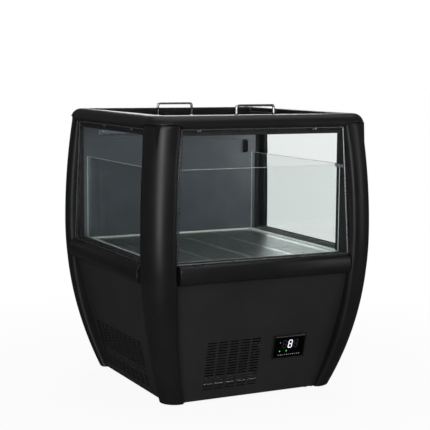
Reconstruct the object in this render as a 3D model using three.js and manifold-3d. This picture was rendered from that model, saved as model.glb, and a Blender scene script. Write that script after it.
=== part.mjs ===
// Square, barrel-sided open-top cooler with glass walls and two sliding glass lids.
// Millimetres, +Z up, origin on the floor under the middle of the cabinet, front towards -Y.
import * as THREE from 'three';
import { mergeVertices } from 'three/addons/utils/BufferGeometryUtils.js';
import Module from 'manifold-3d';

const wasm = await Module();
wasm.setup();

// ---- driving dimensions ----
const gap = 0.3;             // clearance between touching pieces
const halfWidth = 373.5;     // corner posts at their widest
const waistZ = 485;          // height of the widest point
const lowerBow = 1285;       // radius of the post's side below the waist
const upperBow = 2750;       // and above it
const skirtZ = 10;           // lower edge of posts and panels
const rimTop = 850;
const rimBottom = 813;
const rimHalf = 356.5;       // outside of the top rim
const mouthHalf = 300;       // inside of the top rim
const railBottom = 375;
const railTop = 431;
const railBulge = 376;       // how far the bumper rail stands out from the centre
const skinAtRail = 350;      // plane of glass and panels at the rail
const skinAtRim = 339;
const skinAtSkirt = 265;
const glassFoot = 435;       // the skin plane starts to lean inwards here
const panelHead = 379;       // and starts to taper downwards here
const armWidth = 87;         // how far a post reaches along each side
const armTaper = 27 / 355;   // and how much of that it loses per mm towards the floor
const cornerRadius = 66;     // outer corner of posts and rim
const glassThickness = 6;
const paneInset = 14;        // from a pane's side edge to the next side's skin plane
const sheetThickness = 1.5;
const columnHalf = 280;      // inner faces of the two front corner columns
const columnTop = 792.7;
const innerGlassHalf = 302.5;
const innerGlassTop = 696;
const innerGlassThickness = 5;
const tubHalf = 332;
const tubBottom = 318;
const tubTop = 430.5;
const deckLedge = 424;
const rearWallFace = 292;
const castorHalf = 220;      // swivel axes from the centre lines
const castorTrail = 14;
const wheelRadius = 22;
const chassisZ = 58;         // underside of the chassis tray
const upperLidZ = 825.3;
const lowerLidZ = 815.2;
const lidThickness = 8;
const lidHalf = 295.5;
const handleY = 279;
const handleHalf = 62;       // bow handles, to the middle of their bar
const handleHeight = 42;
const trackEnd = 289;
const fanX = -72;            // centre of the condenser fan
const fanZ = 150;

// half width over the posts at a height
function outline(z) {
  const bow = z < waistZ ? lowerBow : upperBow;
  return halfWidth - (bow - Math.sqrt(bow * bow - (z - waistZ) ** 2));
}

// outer plane of glass and panels at a height
function skin(z) {
  if (z >= glassFoot) {
    return skinAtRail + (skinAtRim - skinAtRail) * (z - glassFoot) / (rimBottom - glassFoot);
  }
  if (z >= panelHead) return skinAtRail;
  return skinAtSkirt + (skinAtRail - skinAtSkirt) * (z - skirtZ) / (panelHead - skirtZ);
}

function arm(z) {
  return armWidth - Math.max(0, railBottom - z) * armTaper;
}

// ---- finishes ----
function finish(color, roughness, metalness, opacity = 1) {
  return { color, roughness, metalness, opacity, transparent: opacity < 1 };
}
const blackMoulding = finish(0x1d1d1f, 0.42, 0);
const blackSheet = finish(0x232325, 0.5, 0.1);
const clearGlass = finish(0xdfe8ea, 0.05, 0, 0.25);
const aluminium = finish(0xc9ccd0, 0.35, 0.9);
const chrome = finish(0xe4e6e8, 0.12, 1);
const galvanised = finish(0x9a9fa3, 0.5, 0.8);
const whiteFoam = finish(0xe6e7e8, 0.5, 0);
const greyLiner = finish(0x6d7176, 0.35, 0.4);
const copper = finish(0xb5693d, 0.35, 0.9);
const blackEnamel = finish(0x141414, 0.3, 0.2);
const greyRubber = finish(0x2b2b2d, 0.75, 0);
const displayGlass = finish(0x050506, 0.08, 0);

const cooler = new THREE.Group();

function add(name, geometry, look, parent = cooler) {
  const mesh = new THREE.Mesh(geometry, new THREE.MeshStandardMaterial(look));
  mesh.name = name;
  parent.add(mesh);
  return mesh;
}

// a group turned so that what is built facing -Y faces the named side
const turns = { front: 0, right: Math.PI / 2, rear: Math.PI, left: -Math.PI / 2 };
function side(name) {
  const group = new THREE.Group();
  group.rotation.z = turns[name];
  cooler.add(group);
  return group;
}

// ---- solids ----
function box(x0, x1, y0, y1, z0, z1) {
  const geometry = new THREE.BoxGeometry(x1 - x0, y1 - y0, z1 - z0);
  return geometry.translate((x0 + x1) / 2, (y0 + y1) / 2, (z0 + z1) / 2);
}

// a cylinder from point a along an axis
function rod(radius, length, [x, y, z], axis = 'z', segments = 32) {
  const geometry = new THREE.CylinderGeometry(radius, radius, length, segments);
  geometry.translate(0, length / 2, 0);
  if (axis === 'z') geometry.rotateX(Math.PI / 2);
  if (axis === 'x') geometry.rotateZ(-Math.PI / 2);
  return geometry.translate(x, y, z);
}

function toSolid(geometry) {
  const bare = geometry.clone();
  bare.deleteAttribute('normal');
  bare.deleteAttribute('uv');
  const merged = mergeVertices(bare, 1e-4);
  return new wasm.Manifold(new wasm.Mesh({
    numProp: 3,
    vertProperties: new Float32Array(merged.attributes.position.array),
    triVerts: new Uint32Array(merged.index.array),
  }));
}

function toGeometry(solid) {
  const mesh = solid.getMesh();
  const geometry = new THREE.BufferGeometry();
  geometry.setAttribute('position', new THREE.BufferAttribute(new Float32Array(mesh.vertProperties), 3));
  geometry.setIndex(new THREE.BufferAttribute(new Uint32Array(mesh.triVerts), 1));
  geometry.computeVertexNormals();
  return geometry;
}

function join(...geometries) {
  return toGeometry(geometries.map(toSolid).reduce((all, next) => all.add(next)));
}

function cut(geometry, ...tools) {
  return toGeometry(tools.map(toSolid).reduce((rest, tool) => rest.subtract(tool), toSolid(geometry)));
}

// a closed skin through rings of points, every ring with the same number of points;
// the ends are capped by a fan from each ring's last point, unless the last ring joins the first
function loft(rings, closed = false) {
  const count = rings[0].length;
  const positions = rings.flat().flatMap((p) => [p.x, p.y, p.z]);
  const index = [];
  const spans = closed ? rings.length : rings.length - 1;
  for (let r = 0; r < spans; r++) {
    const low = r * count;
    const high = ((r + 1) % rings.length) * count;
    for (let i = 0; i < count; i++) {
      const j = (i + 1) % count;
      index.push(low + i, low + j, high + j, low + i, high + j, high + i);
    }
  }
  if (!closed) {
    const last = (rings.length - 1) * count;
    for (let i = 0; i < count - 2; i++) {
      index.push(count - 1, i + 1, i);
      index.push(last + count - 1, last + i, last + i + 1);
    }
  }
  const geometry = new THREE.BufferGeometry();
  geometry.setAttribute('position', new THREE.Float32BufferAttribute(positions, 3));
  geometry.setIndex(index);
  if (volume(geometry) < 0) {
    for (let i = 0; i < index.length; i += 3) [index[i + 1], index[i + 2]] = [index[i + 2], index[i + 1]];
    geometry.setIndex(index);
  }
  geometry.computeVertexNormals();
  return geometry;
}

function volume(geometry) {
  const p = geometry.attributes.position;
  const [a, b, c] = [new THREE.Vector3(), new THREE.Vector3(), new THREE.Vector3()];
  let sum = 0;
  for (let i = 0; i < geometry.index.count; i += 3) {
    a.fromBufferAttribute(p, geometry.index.getX(i));
    b.fromBufferAttribute(p, geometry.index.getX(i + 1));
    c.fromBufferAttribute(p, geometry.index.getX(i + 2));
    sum += a.dot(b.cross(c)) / 6;
  }
  return sum;
}

function arc(cx, cy, radius, from, to, steps) {
  return Array.from({ length: steps + 1 }, (_, i) => {
    const angle = from + (to - from) * i / steps;
    return [cx + radius * Math.cos(angle), cy + radius * Math.sin(angle)];
  });
}

// a rounded square at height z, as seen from above
function roundedSquare(half, radius, z, steps = 6) {
  const r = Math.max(radius, 1);
  const quarter = Math.PI / 2;
  return [0, 1, 2, 3].flatMap((k) => {
    const [cx, cy] = [[1, 1], [-1, 1], [-1, -1], [1, -1]][k].map((s) => s * (half - r));
    return arc(cx, cy, r, k * quarter, (k + 1) * quarter, steps).map(([x, y]) => new THREE.Vector3(x, y, z));
  });
}

// a closed profile of [half size, height] points carried round a rounded square
function ringOf(profile, radius = cornerRadius, outer = rimHalf) {
  return loft(profile.map(([half, z]) => roundedSquare(half, radius - (outer - half), z)), true);
}

// a tube through points that lie in one plane
function tube(points, radius, planeNormal, sides = 10) {
  const rings = points.map((p, i) => {
    const ahead = points[Math.min(i + 1, points.length - 1)];
    const behind = points[Math.max(i - 1, 0)];
    const along = ahead.clone().sub(behind).normalize();
    const across = planeNormal.clone().cross(along).normalize();
    return Array.from({ length: sides }, (_, k) => {
      const angle = 2 * Math.PI * k / sides;
      return p.clone().addScaledVector(across, radius * Math.cos(angle))
        .addScaledVector(planeNormal, radius * Math.sin(angle));
    });
  });
  return loft(rings);
}

// a flat sheet facing -Y whose outer face lies on the skin from zLow to zHigh, raised by lift; outlineOf
// gives its corners for the length of the slope, u across and v up it, and openings are cut out of it
function sheet(name, sideName, look, [zLow, zHigh], thickness, outlineOf, openings = [], lift = 0) {
  const low = skin(zLow);
  const high = skin(zHigh);
  const slope = Math.hypot(high - low, zHigh - zLow);
  const plate = prism(outlineOf(slope), -thickness, 0);
  const geometry = openings.length ? cut(plate, ...openings) : plate;
  const mesh = add(name, geometry.translate(0, 0, lift), look, side(sideName));
  mesh.rotation.x = Math.PI / 2 + Math.atan2(high - low, zHigh - zLow);
  mesh.position.set(0, -low, zLow);
  return mesh;
}

// a flat outline of [x, y] points given thickness from z0 to z1
function prism(corners, z0, z1) {
  const shape = new THREE.Shape(corners.map(([x, y]) => new THREE.Vector2(x, y)));
  return new THREE.ExtrudeGeometry(shape, { depth: z1 - z0, bevelEnabled: false }).translate(0, 0, z0);
}

function trapezium(lowHalf, highHalf, v0, v1) {
  return [[-lowHalf, v0], [lowHalf, v0], [highHalf, v1], [-highHalf, v1]];
}

// ---- casing ----
function postSection(z) {
  const out = outline(z);
  const reach = out - arm(z);
  const inner = skin(z) + 0.5;
  const round = 0.75 * arm(z);
  const edge = Math.min(0.22 * arm(z), out - inner - 1);
  const quarter = Math.PI / 2;
  const points = [
    [-reach, -inner],
    ...arc(-reach - edge, -(out - edge), edge, 0, -quarter, 4),
    ...arc(-(out - round), -(out - round), round, -quarter, -2 * quarter, 8),
    ...arc(-(out - edge), -reach - edge, edge, 2 * quarter, quarter, 4),
    [-inner, -reach],
    [-inner, -inner],
  ];
  return points.map(([x, y]) => new THREE.Vector3(x, y, z));
}

function makePosts() {
  const levels = [skirtZ, 50, 100, 150, 200, 250, 300, 340, panelHead, glassFoot, 520, 610, 700, 770,
    rimBottom - gap];
  const corners = { front: 'front_left', right: 'front_right', rear: 'rear_right', left: 'rear_left' };
  for (const [sideName, corner] of Object.entries(corners)) {
    add('post_' + corner, loft(levels.map(postSection)), blackMoulding, side(sideName));
  }
}

// square columns that carry the rim inside the two front corners, their outer faces just behind the glass
function makeColumns() {
  const outerFace = (z) => skin(z) - glassThickness - 0.5;
  for (const [name, sign] of [['left', -1], ['right', 1]]) {
    const section = (z) => {
      const [near, far] = [columnHalf, outerFace(z)];
      const corners = [[near, near], [far, near], [far, far], [near, far]];
      return corners.map(([x, y]) => new THREE.Vector3(sign * x, -y, z));
    };
    add('corner_column_' + name, loft([railTop + 0.5, columnTop].map(section)), blackMoulding);
  }
}

function makeRim() {
  const crown = arc(rimHalf - 32, rimTop - 32, 32, 0, Math.PI / 2, 6);
  const inside = [[mouthHalf + 6, rimTop], [mouthHalf, rimTop - 5]];
  const profile = [[mouthHalf, rimBottom], [rimHalf - 2, rimBottom], ...crown, ...inside];
  add('rim', ringOf(profile), blackMoulding);
  const beam = [[304, 793], [331, 793], [331, rimBottom - gap], [304, rimBottom - gap]];
  add('top_frame', ringOf(beam, 34, 331), blackMoulding);
}

function makeRails() {
  const length = outline(railBottom) - armWidth - 1.2;
  const back = -tubHalf - 0.5;
  for (const name of Object.keys(turns)) {
    const shape = new THREE.Shape();
    shape.moveTo(-back, railBottom);
    shape.lineTo(railBulge - 16, railBottom);
    const [low, high, out] = [railBottom, railTop, railBulge];
    shape.bezierCurveTo(out - 3, low + 3, out, low + 14, out, low + 25);
    shape.bezierCurveTo(out, high - 14, out - 4, high - 2, out - 17, high);
    shape.lineTo(-back, railTop);
    const run = { depth: 2 * length, bevelEnabled: false, curveSegments: 6 };
    const geometry = new THREE.ExtrudeGeometry(shape, run).translate(0, 0, -length);
    geometry.applyMatrix4(new THREE.Matrix4().makeBasis(
      new THREE.Vector3(0, -1, 0), new THREE.Vector3(0, 0, 1), new THREE.Vector3(-1, 0, 0)));
    add('rail_' + name, geometry, blackMoulding, side(name));
  }
}

// openings through a sheet: rows and columns of ventilation slots, and a rectangle
const fineSlot = { length: 31, height: 4, pitchX: 36.6, pitchV: 8.7 };
const wideSlot = { length: 67.6, height: 8, pitchX: 73.2, pitchV: 17.4 };
function slots(slot, firstX, firstV, columns, rows) {
  return Array.from({ length: columns * rows }, (_, i) => {
    const u = firstX + (i % columns) * slot.pitchX;
    const v = firstV + Math.floor(i / columns) * slot.pitchV;
    return box(u, u + slot.length, v, v + slot.height, -5, 5);
  });
}

const display = { x: 113, v: 147, width: 104, height: 68 };
const inlet = { x: 150, v: 90, width: 50, height: 30 };
function window({ x, v, width, height }) {
  return box(x - width / 2, x + width / 2, v - height / 2, v + height / 2, -5, 5);
}

function makePanels() {
  const span = [skirtZ, railBottom - 0.5];
  const whole = (slope) => trapezium(skin(span[0]) - 6, skin(span[1]) - 6, 0, slope);
  const openings = {
    front: [...slots(fineSlot, -162, 33, 5, 18), window(display)],
    left: slots(wideSlot, -224, 22, 5, 9),
    right: slots(wideSlot, -142, 22, 5, 9),
    rear: [...slots(wideSlot, -165, 180, 4, 5), window(inlet)],
  };
  for (const [name, holes] of Object.entries(openings)) {
    sheet('panel_' + name, name, blackSheet, span, sheetThickness, whole, holes);
  }
}

// ---- glass ----
function makeGlass() {
  const span = [railTop + 0.5, rimBottom - gap];
  const pane = (slope) => trapezium(skin(span[0]) - paneInset, skin(span[1]) - paneInset, 0, slope);
  const [a, b] = span.map((z) => outline(z) - arm(z) - 1);
  const border = (slope) => trapezium(a, b, 0, slope);
  const length = Math.hypot(skin(span[0]) - skin(span[1]), span[1] - span[0]);
  const bare = prism(trapezium(a - 5, b - 5, 5, length - 4), -9, 9);
  for (const name of ['front', 'left', 'right']) {
    sheet('glass_' + name, name, clearGlass, span, glassThickness, pane);
    sheet('trim_' + name, name, aluminium, span, 3, border, [bare], 3.2);
  }
  sheet('rear_skin', 'rear', blackSheet, span, sheetThickness, pane);
  add('rear_wall', box(-328, 328, rearWallFace, 332, railTop, 792.5), greyLiner);

  const outer = innerGlassHalf;
  const inner = outer - innerGlassThickness;
  const end = columnHalf - gap;
  add('inner_glass_front', box(-end, end, -outer, -inner, railTop, innerGlassTop), clearGlass);
  for (const [name, sign] of [['left', -1], ['right', 1]]) {
    const [x0, x1] = [sign * inner, sign * outer].sort((a, b) => a - b);
    add('inner_glass_' + name, box(x0, x1, -end, rearWallFace - gap, railTop, innerGlassTop), clearGlass);
  }
}

// ---- the cold well ----
function makeWell() {
  const hull = box(-tubHalf, tubHalf, -tubHalf, tubHalf, tubBottom, tubTop);
  const seat = box(-286, 286, -286, 286, deckLedge, tubTop + 1);
  const sump = box(-270, 270, -270, 270, 346, deckLedge + 1);
  const drain = rod(8, 60, [200, 200, tubBottom - 10]);
  add('tub', cut(hull, seat, sump, drain), whiteFoam);

  const vents = Array.from({ length: 28 }, (_, i) => window({
    x: -201 + (i % 4) * 134, v: -240 + Math.floor(i / 4) * 80, width: 118, height: 40,
  }));
  const plate = cut(box(-285, 285, -285, 285, 0, 2.5), ...vents).translate(0, 0, deckLedge + gap);
  add('deck', plate, galvanised);

  add('evaporator', box(-190, 190, 95, 235, 346 + gap, 400), galvanised);
  const cover = join(
    box(-215, 215, -110, 250, 406, 408.5),
    box(-215, 215, 247, 250, 346 + gap, 407),
    box(-215, -212.5, -110, 248, 346 + gap, 407),
    box(212.5, 215, -110, 248, 346 + gap, 407));
  const fanCover = join(cut(cover, rod(62, 10, [0, 0, 402], 'z', 40)), box(-64, 64, -4, 4, 406, 408.5),
    rod(24, 8.5, [0, 0, 400], 'z', 24));
  add('evaporator_cover', fanCover, greyLiner);
  add('evaporator_fan_blade', fan(56, 14, [0, 0, 380], 5), blackMoulding);
  add('led_bar', box(-262, 262, 282, rearWallFace - gap, 764, 780), clearGlass);
}

// a fan wheel on the Z axis: a hub with pitched blades
function fan(radius, hubRadius, [x, y, z], blades) {
  const parts = [rod(hubRadius, 14, [0, 0, 0], 'z', 20)];
  for (let i = 0; i < blades; i++) {
    const blade = new THREE.BoxGeometry(radius - hubRadius + 4, hubRadius * 1.6, 1.6);
    blade.rotateX(0.45);
    blade.translate((radius + hubRadius - 4) / 2, 0, 7);
    blade.rotateZ(i * 2 * Math.PI / blades);
    parts.push(blade);
  }
  return join(...parts).translate(x, y, z);
}

// ---- sliding lids ----
function makeLid(name, z, nearY, farY, handleAt) {
  const bar = 16;
  const rabbet = 8;
  const frame = cut(
    box(-lidHalf, lidHalf, nearY, farY, z, z + lidThickness),
    box(-lidHalf + bar, lidHalf - bar, nearY + bar, farY - bar, z - 1, z + 9),
    box(-lidHalf + rabbet, lidHalf - rabbet, nearY + rabbet, farY - rabbet, z + 4, z + 9));
  add(name + '_frame', frame, aluminium);
  const inset = rabbet + gap;
  const glassTop = z + lidThickness;
  const pane = box(-lidHalf + inset, lidHalf - inset, nearY + inset, farY - inset, z + 4 + gap, glassTop);
  add(name + '_glass', pane, clearGlass);
  add(name + '_handle', handle(handleAt, glassTop + gap), chrome);
}

function handle(y, z) {
  const [half, height, bend] = [handleHalf, handleHeight, 9];
  const points = [
    [-half, z + 0.5], [-half, z + height - bend],
    ...arc(-half + bend, z + height - bend, bend, Math.PI, Math.PI / 2, 4).slice(1),
    ...arc(half - bend, z + height - bend, bend, Math.PI / 2, 0, 4),
    [half, z + 0.5],
  ].map(([x, h]) => new THREE.Vector3(x, y, h));
  const bow = tube(points, 4.2, new THREE.Vector3(0, 1, 0));
  return join(bow, rod(7, 2, [-half, y, z], 'z', 16), rod(7, 2, [half, y, z], 'z', 16));
}

function makeLids() {
  makeLid('lid_front', upperLidZ, -297, 14, -handleY);
  makeLid('lid_rear', lowerLidZ, -14, 297, handleY);
  for (const [name, sign] of [['left', -1], ['right', 1]]) {
    const [outerX, wallX, lipX] = [mouthHalf - gap, 296.5, 287];
    const shelves = [[rimBottom + gap, 814.8], [823.5, 824.9], [833.7, 835.6]];
    const pieces = shelves.map(([z0, z1]) => box(lipX, outerX, -trackEnd, trackEnd, z0, z1));
    pieces.push(box(wallX, outerX, -trackEnd, trackEnd, rimBottom + gap, 835.6));
    const track = join(...pieces);
    if (sign < 0) track.rotateZ(Math.PI);
    add('track_' + name, track, greyRubber);
  }
  const base = rod(8, 2, [288, 313, rimTop + gap], 'z', 24);
  add('lid_lock', join(base, rod(5.5, 6, [288, 313, rimTop + gap], 'z', 24)), chrome);
}

// ---- thermostat display, set in the front panel's slope ----
function makeDisplay() {
  const lean = Math.atan2(skin(railBottom) - skin(skirtZ), railBottom - skirtZ);
  const mount = new THREE.Group();
  mount.rotation.x = Math.PI / 2 + lean;
  mount.position.set(0, -skinAtSkirt, skirtZ);
  cooler.add(mount);
  const { x, v, width, height } = display;
  const [w, h] = [width / 2, height / 2];
  const flange = box(x - w - 3, x + w + 3, v - h - 3, v + h + 3, gap, 4);
  const body = box(x - w + 1, x + w - 1, v - h + 1, v + h - 1, -24, 1);
  const pocket = box(x - w, x + w, v - h, v + h, 1.5, 5);
  add('display_housing', cut(join(flange, body), pocket), blackMoulding, mount);
  const pane = box(x - w + gap, x + w - gap, v - h + gap, v + h - gap, 1.5 + gap, 3.7);
  add('display_window', pane, displayGlass, mount);
}

// ---- chassis and refrigeration ----
function makeChassis() {
  const tray = cut(box(-270, 270, -270, 270, chassisZ, 80), box(-268, 268, -268, 268, chassisZ + 2, 81));
  add('chassis_tray', tray, galvanised);

  const floor = chassisZ + 2 + gap;
  const shell = [[0, 20], [52, 20], [66, 30], [72, 50], [72, 92], [75, 94], [75, 98], [72, 100], [72, 130],
    [64, 152], [44, 163], [0, 166]].map(([r, z]) => new THREE.Vector2(r, z));
  const dome = new THREE.LatheGeometry(shell, 24).rotateX(Math.PI / 2).translate(70, 90, floor);
  const foot = box(70 - 95, 70 + 95, 90 - 60, 90 + 60, floor, floor + 4);
  const neck = rod(30, 24, [70, 90, floor], 'z', 24);
  add('compressor', join(dome, foot, neck, box(130, 160, 70, 110, floor + 70, floor + 120)), blackEnamel);

  const condenserBack = -185;
  add('condenser', box(fanX - 85, fanX + 85, condenserBack - 32, condenserBack, floor, 236), galvanised);
  const shroud = cut(box(fanX - 85, fanX + 85, condenserBack + gap, condenserBack + 22, floor, 236),
    rod(76, 60, [fanX, condenserBack - 20, fanZ], 'y', 40));
  const strut = join(box(fanX - 84, fanX + 84, condenserBack + 30, condenserBack + 33, fanZ - 7, fanZ + 7),
    box(fanX - 85, fanX - 80, condenserBack + 12, condenserBack + 33, fanZ - 7, fanZ + 7),
    box(fanX + 80, fanX + 85, condenserBack + 12, condenserBack + 33, fanZ - 7, fanZ + 7),
    rod(30, 34, [fanX, condenserBack + 30, fanZ], 'y', 24));
  add('condenser_fan_shroud', join(shroud, strut), galvanised);
  const blade = fan(70, 18, [0, 0, 0], 5).rotateX(-Math.PI / 2).translate(fanX, condenserBack + 12, fanZ);
  add('condenser_fan_blade', blade, aluminium);

  const basin = box(-225, -55, 40, 230, floor, floor + 40);
  add('drip_tray', cut(basin, box(-222, -58, 43, 227, floor + 3, floor + 41)), blackMoulding);

  const pipe = [[70, 231], [70, 262], [60, 274], [-60, 274], [-72, 262], [-72, 241]];
  const route = new THREE.CurvePath();
  const at = ([x, z], i) => new THREE.Vector3(x, 90 + (condenserBack - 16 - 90) * (i / 5), z);
  const stops = pipe.map(at);
  route.add(new THREE.CatmullRomCurve3(stops, false, 'centripetal'));
  const section = new THREE.Shape().absarc(0, 0, 4, 0, 2 * Math.PI);
  const sweep = { steps: 22, curveSegments: 2, extrudePath: route };
  add('discharge_pipe', new THREE.ExtrudeGeometry(section, sweep), copper);
}

function makeInlet() {
  const lean = Math.atan2(skin(railBottom) - skin(skirtZ), railBottom - skirtZ);
  const rear = side('rear');
  const mount = new THREE.Group();
  mount.rotation.x = Math.PI / 2 + lean;
  mount.position.set(0, -skinAtSkirt, skirtZ);
  rear.add(mount);
  const { x, v, width, height } = inlet;
  const [w, h] = [width / 2, height / 2];
  const flange = box(x - w - 5, x + w + 5, v - h - 5, v + h + 5, gap, 3);
  const body = box(x - w + 1, x + w - 1, v - h + 1, v + h - 1, -28, 1);
  const socket = box(x - 13, x + 13, v - 9, v + 9, -16, 5);
  const pins = [-7, 0, 7].map((dx) => box(x + dx - 1, x + dx + 1, v - 3, v + 3, -17, -8));
  add('power_inlet', join(cut(join(flange, body), socket), ...pins), blackMoulding, mount);
}

// ---- twin-wheel castors ----
function makeCastor(name, x, y) {
  const axleY = y - castorTrail;
  const web = 4.5;
  const profile = new THREE.Shape();
  profile.moveTo(15, 54);
  profile.lineTo(-16, 54);
  profile.lineTo(-castorTrail - 20, 40);
  profile.lineTo(-castorTrail - 9, 16);
  profile.lineTo(-castorTrail + 9, 14);
  profile.lineTo(15, 44);
  const geometry = new THREE.ExtrudeGeometry(profile, { depth: 2 * web, bevelEnabled: false });
  geometry.translate(0, 0, -web);
  geometry.applyMatrix4(new THREE.Matrix4().makeBasis(
    new THREE.Vector3(0, 1, 0), new THREE.Vector3(0, 0, 1), new THREE.Vector3(1, 0, 0)));
  geometry.translate(x, y, 0);
  const plate = rod(19, 6, [x, y, 51], 'z', 24);
  const stem = rod(8, chassisZ - gap - 52, [x, y, 52], 'z', 16);
  const bore = rod(3.6, 20, [x - 10, axleY, wheelRadius], 'x', 20);
  add('castor_' + name, cut(join(geometry, plate, stem), bore), blackMoulding);

  const wheel = [[0, -19], [18, -19], [22, -16], [22, -6], [20, -5], [3.2, -5], [3.2, 5], [20, 5], [22, 6],
    [22, 16], [18, 19], [0, 19]].map(([r, h]) => new THREE.Vector2(r, h));
  const wheels = new THREE.LatheGeometry(wheel, 24).rotateZ(-Math.PI / 2).translate(x, axleY, wheelRadius);
  add('wheels_' + name, wheels, greyRubber);
}

makePosts();
makeColumns();
makeRim();
makeRails();
makePanels();
makeGlass();
makeWell();
makeLids();
makeDisplay();
makeChassis();
makeInlet();
makeCastor('front_left', -castorHalf, -castorHalf);
makeCastor('front_right', castorHalf, -castorHalf);
makeCastor('rear_left', -castorHalf, castorHalf);
makeCastor('rear_right', castorHalf, castorHalf);

export default cooler;
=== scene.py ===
import math
import bmesh
import bpy
from mathutils import Matrix, Vector


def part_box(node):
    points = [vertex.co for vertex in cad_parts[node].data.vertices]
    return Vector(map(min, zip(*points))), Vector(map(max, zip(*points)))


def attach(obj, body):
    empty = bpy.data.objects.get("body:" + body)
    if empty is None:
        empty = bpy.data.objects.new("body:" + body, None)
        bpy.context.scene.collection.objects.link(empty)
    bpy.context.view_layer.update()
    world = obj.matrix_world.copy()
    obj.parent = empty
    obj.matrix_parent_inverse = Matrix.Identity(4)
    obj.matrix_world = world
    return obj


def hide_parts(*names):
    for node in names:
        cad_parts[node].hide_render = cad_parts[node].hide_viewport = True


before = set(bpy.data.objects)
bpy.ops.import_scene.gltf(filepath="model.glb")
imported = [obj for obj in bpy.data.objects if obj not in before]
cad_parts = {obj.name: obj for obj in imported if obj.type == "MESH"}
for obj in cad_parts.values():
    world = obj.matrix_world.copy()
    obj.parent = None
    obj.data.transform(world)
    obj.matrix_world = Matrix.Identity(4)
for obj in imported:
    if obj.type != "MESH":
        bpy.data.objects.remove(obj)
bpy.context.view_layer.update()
mm = 0.001


# ---- camera, light and floor ----

camera = {
    "aim": (0.0, 0.0, 0.4014), "azimuth": -26.72, "elevation": 7.075, "roll": 0.412,
    "aside": (-0.01162, -0.11975), "distance": 3.723, "lens": 98.44, "sensor": 36.0,
}


def placeCamera():
    azimuth, elevation, roll = (math.radians(camera[k]) for k in ("azimuth", "elevation", "roll"))
    back = Vector((math.sin(azimuth) * math.cos(elevation), -math.cos(azimuth) * math.cos(elevation),
                   math.sin(elevation)))
    right = (-back).cross(Vector((0, 0, 1))).normalized()
    up = right.cross(-back)
    across = right * math.cos(roll) + up * math.sin(roll)
    upright = up * math.cos(roll) - right * math.sin(roll)
    data = bpy.data.cameras.new("camera")
    data.lens, data.sensor_width = camera["lens"], camera["sensor"]
    seat = bpy.data.objects.new("camera", data)
    place = (Vector(camera["aim"]) - across * camera["aside"][0] - upright * camera["aside"][1]
             + back * camera["distance"])
    turn = Matrix((across, upright, back)).transposed().to_4x4()
    seat.matrix_world = Matrix.Translation(place) @ turn
    bpy.context.scene.collection.objects.link(seat)
    bpy.context.scene.camera = seat


# ---- colours and nodes ----

def toLinear(hexColour):
    parts = [int(hexColour[i:i + 2], 16) / 255 for i in (1, 3, 5)]
    return tuple(c / 12.92 if c <= 0.04045 else ((c + 0.055) / 1.055) ** 2.4 for c in parts) + (1.0,)


def addNode(tree, kind, links=None, **settings):
    # a setting is an attribute of the node, or the name of one of its inputs with _ for a space; a link comes
    # from an output, or from a node whose first output it is
    node = tree.nodes.new(kind)
    for key, value in settings.items():
        if hasattr(node, key):
            setattr(node, key, value)
        else:
            node.inputs[key.replace("_", " ")].default_value = value
    for key, source in (links or {}).items():
        tree.links.new(getattr(source, "outputs", [source])[0], node.inputs[key])
    return node


def newMaterial(name, **settings):
    material = bpy.data.materials.new(name)
    material.use_nodes = True
    tree = material.node_tree
    tree.nodes.clear()
    shader = addNode(tree, "ShaderNodeBsdfPrincipled", **settings)
    addNode(tree, "ShaderNodeOutputMaterial", links={"Surface": shader})
    return material, tree, shader


def ramp(tree, source, stops):
    # a float 0..1 to colours or greys at the given stops
    node = addNode(tree, "ShaderNodeValToRGB", links={0: source})
    while len(node.color_ramp.elements) < len(stops):
        node.color_ramp.elements.new(0.5)
    for element, (place, colour) in zip(node.color_ramp.elements, stops):
        element.position = place
        element.color = toLinear(colour) if isinstance(colour, str) else (colour, colour, colour, 1)
    return node.outputs[0]


def bumped(tree, shader, height, strength, depth):
    bump = addNode(tree, "ShaderNodeBump", links={"Height": height}, Strength=strength, Distance=depth)
    tree.links.new(bump.outputs[0], shader.inputs["Normal"])
    return bump


def where(tree, scale=(1, 1, 1)):
    # object coordinates, stretched for patterns that run one way
    place = addNode(tree, "ShaderNodeTexCoord").outputs["Object"]
    if scale == (1, 1, 1):
        return place
    return addNode(tree, "ShaderNodeMapping", links={"Vector": place}, Scale=scale).outputs[0]


def noise(tree, size, stretch=(1, 1, 1), **settings):
    # a pattern whose features are about size millimetres across
    return addNode(tree, "ShaderNodeTexNoise", links={"Vector": where(tree, stretch)},
                   Scale=1 / (size * mm), **settings).outputs["Fac"]


def dress(tree, shader, source, colours, roughness, roughSource=None):
    # base colour and roughness from one pattern, or from one each
    second = source if roughSource is None else roughSource
    tree.links.new(ramp(tree, source, colours), shader.inputs["Base Color"])
    tree.links.new(ramp(tree, second, roughness), shader.inputs["Roughness"])


# ---- finishes ----

def makeMouldedAbs():
    # injection-moulded ABS with a fine spark-eroded grain: satin, its highlights broad and slightly mottled;
    # the grain is about 0.3 mm on the real moulding and drawn at 1.4 mm so that it shows
    material, tree, shader = newMaterial("abs_moulded_satin", Specular_IOR_Level=0.42)
    grain = noise(tree, 1.4, Detail=2.0)
    cloud = noise(tree, 90, Detail=3.0)
    dress(tree, shader, cloud, [(0.3, "#111112"), (0.7, "#151516")], [(0.25, 0.34), (0.75, 0.42)])
    bumped(tree, shader, grain, 0.12, 0.1 * mm)
    return material


def makePowderCoat():
    # polyester powder coat baked on steel sheet: an even dark skin with orange peel a few millimetres across
    material, tree, shader = newMaterial("steel_powder_coated", Specular_IOR_Level=0.4)
    peel = noise(tree, 3.2, Detail=1.0)
    cloud = noise(tree, 160, Detail=2.0)
    dress(tree, shader, cloud, [(0.3, "#1e1e20"), (0.7, "#232325")], [(0.3, 0.44), (0.7, 0.52)], peel)
    bumped(tree, shader, peel, 0.1, 0.12 * mm)
    return material


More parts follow.
